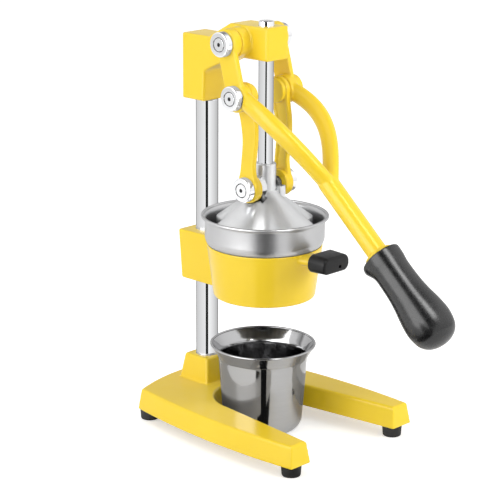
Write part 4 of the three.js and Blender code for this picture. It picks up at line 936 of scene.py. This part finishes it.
def make_floor():
    """A pale floor that glows to the camera, so that it looks white, and a little to mirrors."""
    bpy.ops.mesh.primitive_plane_add(size=8, location=(0, 0, 0))
    floor = bpy.context.object
    floor.name = "floor"
    n = Nodes("floor")
    n.fixed(Base_Color=(0.86, 0.86, 0.86, 1), Roughness=0.9)
    path = n.add("ShaderNodeLightPath").outputs
    mirror = maths(n.tree, "MAXIMUM", path["Is Glossy Ray"], path["Is Transmission Ray"])
    mirror = maths(n.tree, "MULTIPLY", mirror, 0.12)
    glow = maths(n.tree, "MULTIPLY", path["Is Camera Ray"], 0.46)
    n.fixed(Emission_Color=(1, 1, 1, 1))
    n.to(maths(n.tree, "MAXIMUM", glow, mirror), "Emission Strength")
    floor.data.materials.append(n.material)


def make_world():
    """Plain white to the camera. Mirrors see it greyer behind the object, and overhead dark in the middle and
    bright at the sides."""
    world = bpy.data.worlds.new("studio")
    bpy.context.scene.world = world
    world.use_nodes = True
    tree = world.node_tree
    tree.nodes.clear()

    def ramp(value, start, end, low, high):
        return add_node(tree, "ShaderNodeMapRange", {"Value": value, "From Min": start, "From Max": end,
                                                     "To Min": low, "To Max": high}).outputs["Result"]

    def along(x, y):
        """How far a ray's way points towards (x, y)."""
        node = add_node(tree, "ShaderNodeVectorMath", {0: way, 1: (x, y, 0)}, operation="DOT_PRODUCT")
        return node.outputs["Value"]
    path = add_node(tree, "ShaderNodeLightPath").outputs
    way = add_node(tree, "ShaderNodeTexCoord").outputs["Generated"]
    forward = along(math.sin(AZIMUTH), -math.cos(AZIMUTH))
    height = add_node(tree, "ShaderNodeSeparateXYZ", {0: way}).outputs["Z"]
    sideways = along(math.cos(AZIMUTH), math.sin(AZIMUTH))
    gap = ramp(maths(tree, "ABSOLUTE", sideways, 0), 0.2, 0.6, -0.7, 0.2)
    overhead = maths(tree, "MULTIPLY_ADD", ramp(height, 0.15, 0.55, 0, 1), gap)
    grey = maths(tree, "MULTIPLY", ramp(forward, -0.85, -0.35, 0.75, 1), overhead)
    mirror = maths(tree, "MAXIMUM", path["Is Glossy Ray"], path["Is Transmission Ray"])
    strength = maths(tree, "ADD", maths(tree, "MULTIPLY", mirror, grey), path["Is Camera Ray"])
    other = maths(tree, "SUBTRACT", 1, maths(tree, "MAXIMUM", mirror, path["Is Camera Ray"]))
    strength = maths(tree, "ADD", strength, maths(tree, "MULTIPLY", other, 0.68))
    background = add_node(tree, "ShaderNodeBackground", {"Color": (1, 1, 1, 1), "Strength": strength})
    tree.links.new(background.outputs[0], tree.nodes.new("ShaderNodeOutputWorld").inputs[0])


def make_lamp(name, place, aim, size, power, height=None, mirrored=True):
    """A softbox aimed at a point, which mirrors show or do without."""
    data = bpy.data.lights.new(name, "AREA")
    data.shape = "RECTANGLE"
    data.size, data.size_y, data.energy = size, height or size, power
    lamp = bpy.data.objects.new(name, data)
    back = (Vector(place) - Vector(aim)).normalized()
    side = Vector((0, 0, 1)).cross(back).normalized()
    rotation = Matrix((side, back.cross(side), back)).transposed()
    lamp.matrix_world = Matrix.Translation(place) @ rotation.to_4x4()
    lamp.visible_glossy = mirrored
    bpy.context.scene.collection.objects.link(lamp)


def make_card(name, posts, shades):
    """A card that only mirrors see, so that bright metal has a studio's lights and dark lines. It runs from
    post to post, each a low and a high point, and has a shade at each."""
    mesh = bpy.data.meshes.new(name)
    mesh.from_pydata([(x * MM, (y + SHIFT_Y) * MM, z * MM) for post in posts for x, y, z in post], [],
                     [(2 * i, 2 * i + 2, 2 * i + 3, 2 * i + 1) for i in range(len(posts) - 1)])
    card = bpy.data.objects.new(name, mesh)
    bpy.context.scene.collection.objects.link(card)
    layer = mesh.uv_layers.new(name="shade")
    for loop, entry in zip(mesh.loops, layer.data):
        entry.uv = (shades[loop.vertex_index // 2], 0)
    n = Nodes(name)
    n.fixed(Base_Color=(0, 0, 0, 1), Roughness=1.0, Specular_IOR_Level=0.0, Emission_Color=(1, 1, 1, 1))
    shade = n.add("ShaderNodeUVMap", uv_map="shade").outputs[0]
    n.to(n.add("ShaderNodeSeparateXYZ", {0: shade}).outputs[0], "Emission Strength")
    mesh.materials.append(n.material)
    card.visible_camera = card.visible_diffuse = card.visible_shadow = card.visible_transmission = False


def make_cards(right, back):
    """Dark cards towards the camera, lights and darks beside the grip, and a ring of light and dark close
    round the column and the rod."""
    front, side = Vector((back.x, back.y, 0)).normalized(), Vector((right.x, right.y, 0)).normalized()
    black, far, half = (0.01, 0.01), 450, 160

    def at(forward, across, z):
        return tuple(front * forward + side * across + Vector((0, 0, z)))
    make_card("strip_floor", [(at(46, -6, 2), at(46, 6, 2)), (at(far, -half, 2), at(far, half, 2))], black)
    make_card("strip_upright", [(at(far, x, 2), at(far, x, 215)) for x in (-half, half)], black)
    make_card("strip_cup", [(at(47, x, 2), at(49, x, 72)) for x in (-3.6, 3.6)], black)

    def round_card(name, y, radius, low, high, shades):
        """A card round an upright axis, with shades at angles off the camera's direction."""
        turns, values = [], []
        for (start, first), (end, last) in zip(shades, shades[1:]):
            steps = max(1, math.ceil((end - start) / 10))
            turns += [start + (end - start) * i / steps for i in range(steps)]
            values += [first + (last - first) * i / steps for i in range(steps)]
        turns.append(shades[-1][0])
        values.append(shades[-1][1])
        posts = []
        for turn in turns:
            way = front * math.cos(math.radians(turn)) + side * math.sin(math.radians(turn))
            posts.append([tuple(Vector((0, y, z)) + way * radius) for z in (low, high)])
        make_card(name, posts, values)
    bright = [(-187, 0.01), (-173, 0.01), (-172.9, 0.9), (-97, 0.62), (-96.9, 0.2), (-83, 0.2), (-82.9, 0.62),
              (-7.1, 0.85), (-7, 0.01), (7, 0.01), (7.1, 1.0), (82.9, 0.45), (83, 0.2), (97, 0.2),
              (97.1, 0.45), (173, 0.9)]
    off = 1.7
    round_card("column_low_card", COLUMN_Y, COLUMN_R + off, 60, 136, bright)
    round_card("rod_card", 0, ROD_R + off, LOWER_Z + 22.4, HEAD_Z - 16, bright)
    round_card("column_high_card", COLUMN_Y, COLUMN_R + off, 191, HEAD_Z - 64.1, bright)
    axle = (on_lever(0, 1, 0) - on_lever(0, 0, 0)).normalized()
    middle = on_lever(0, 250, 4)
    to_camera = (back - axle * back.dot(axle)).normalized()
    across = axle.cross(to_camera)
    square_share = 0.948

    def over(turn, distance, length, half):
        """A card beside the grip, where its surface, turned half of that angle from the camera, mirrors it.
        The square share is how much of the camera's direction is square to the lever."""
        way = (to_camera * math.cos(turn) + across * math.sin(turn)) * square_share - axle * back.dot(axle)
        edge = axle.cross(way).normalized() * half
        spot = middle + way * distance
        return [tuple(tuple(spot + axle * a + edge * e) for a in (-length, length)) for e in (-1, 1)]
    make_card("grip_dark", over(0, 420, 280, 100), black)
    make_card("grip_left", over(math.radians(40), 900, 450, 420), (3.6, 3.6))
    make_card("grip_right", over(math.radians(-34), 280, 130, 47), (7.5, 7.5))


def make_camera():
    level, sensor = math.cos(ELEVATION), 36
    back = Vector((math.sin(AZIMUTH) * level, -math.cos(AZIMUTH) * level, math.sin(ELEVATION)))
    right = Vector((math.cos(AZIMUTH), math.sin(AZIMUTH), 0))
    up = back.cross(right)
    right, up = (right * math.cos(ROLL) + up * math.sin(ROLL)), (up * math.cos(ROLL) - right * math.sin(ROLL))
    target = Vector((0, SHIFT_Y, AIM_Z)) + right * AIM_RIGHT + up * AIM_UP
    data = bpy.data.cameras.new("camera")
    data.sensor_width = sensor
    data.lens = sensor * FOCAL_SHARE
    data.clip_start, data.clip_end = 0.05, 50
    camera = bpy.data.objects.new("camera", data)
    rotation = Matrix((right, up, back)).transposed()
    camera.matrix_world = Matrix.Translation((target + back * DISTANCE) * MM) @ rotation.to_4x4()
    bpy.context.scene.collection.objects.link(camera)
    bpy.context.scene.camera = camera
    return right, back


make_floor()
make_world()
camera_right, camera_back = make_camera()
make_cards(camera_right, camera_back)
make_lamp("key", (0.7, -1.6, 0.95), (0, 0, 0.2), 0.9, 18, mirrored=False)
make_lamp("left", (-1.45, 0.45, 0.75), (0, 0, 0.2), 0.8, 8.5, 1.2)
make_lamp("top", (-0.6, 0.2, 1.9), (0, 0, 0.2), 1.0, 5, mirrored=False)
bpy.context.scene.view_settings.view_transform = "Standard"
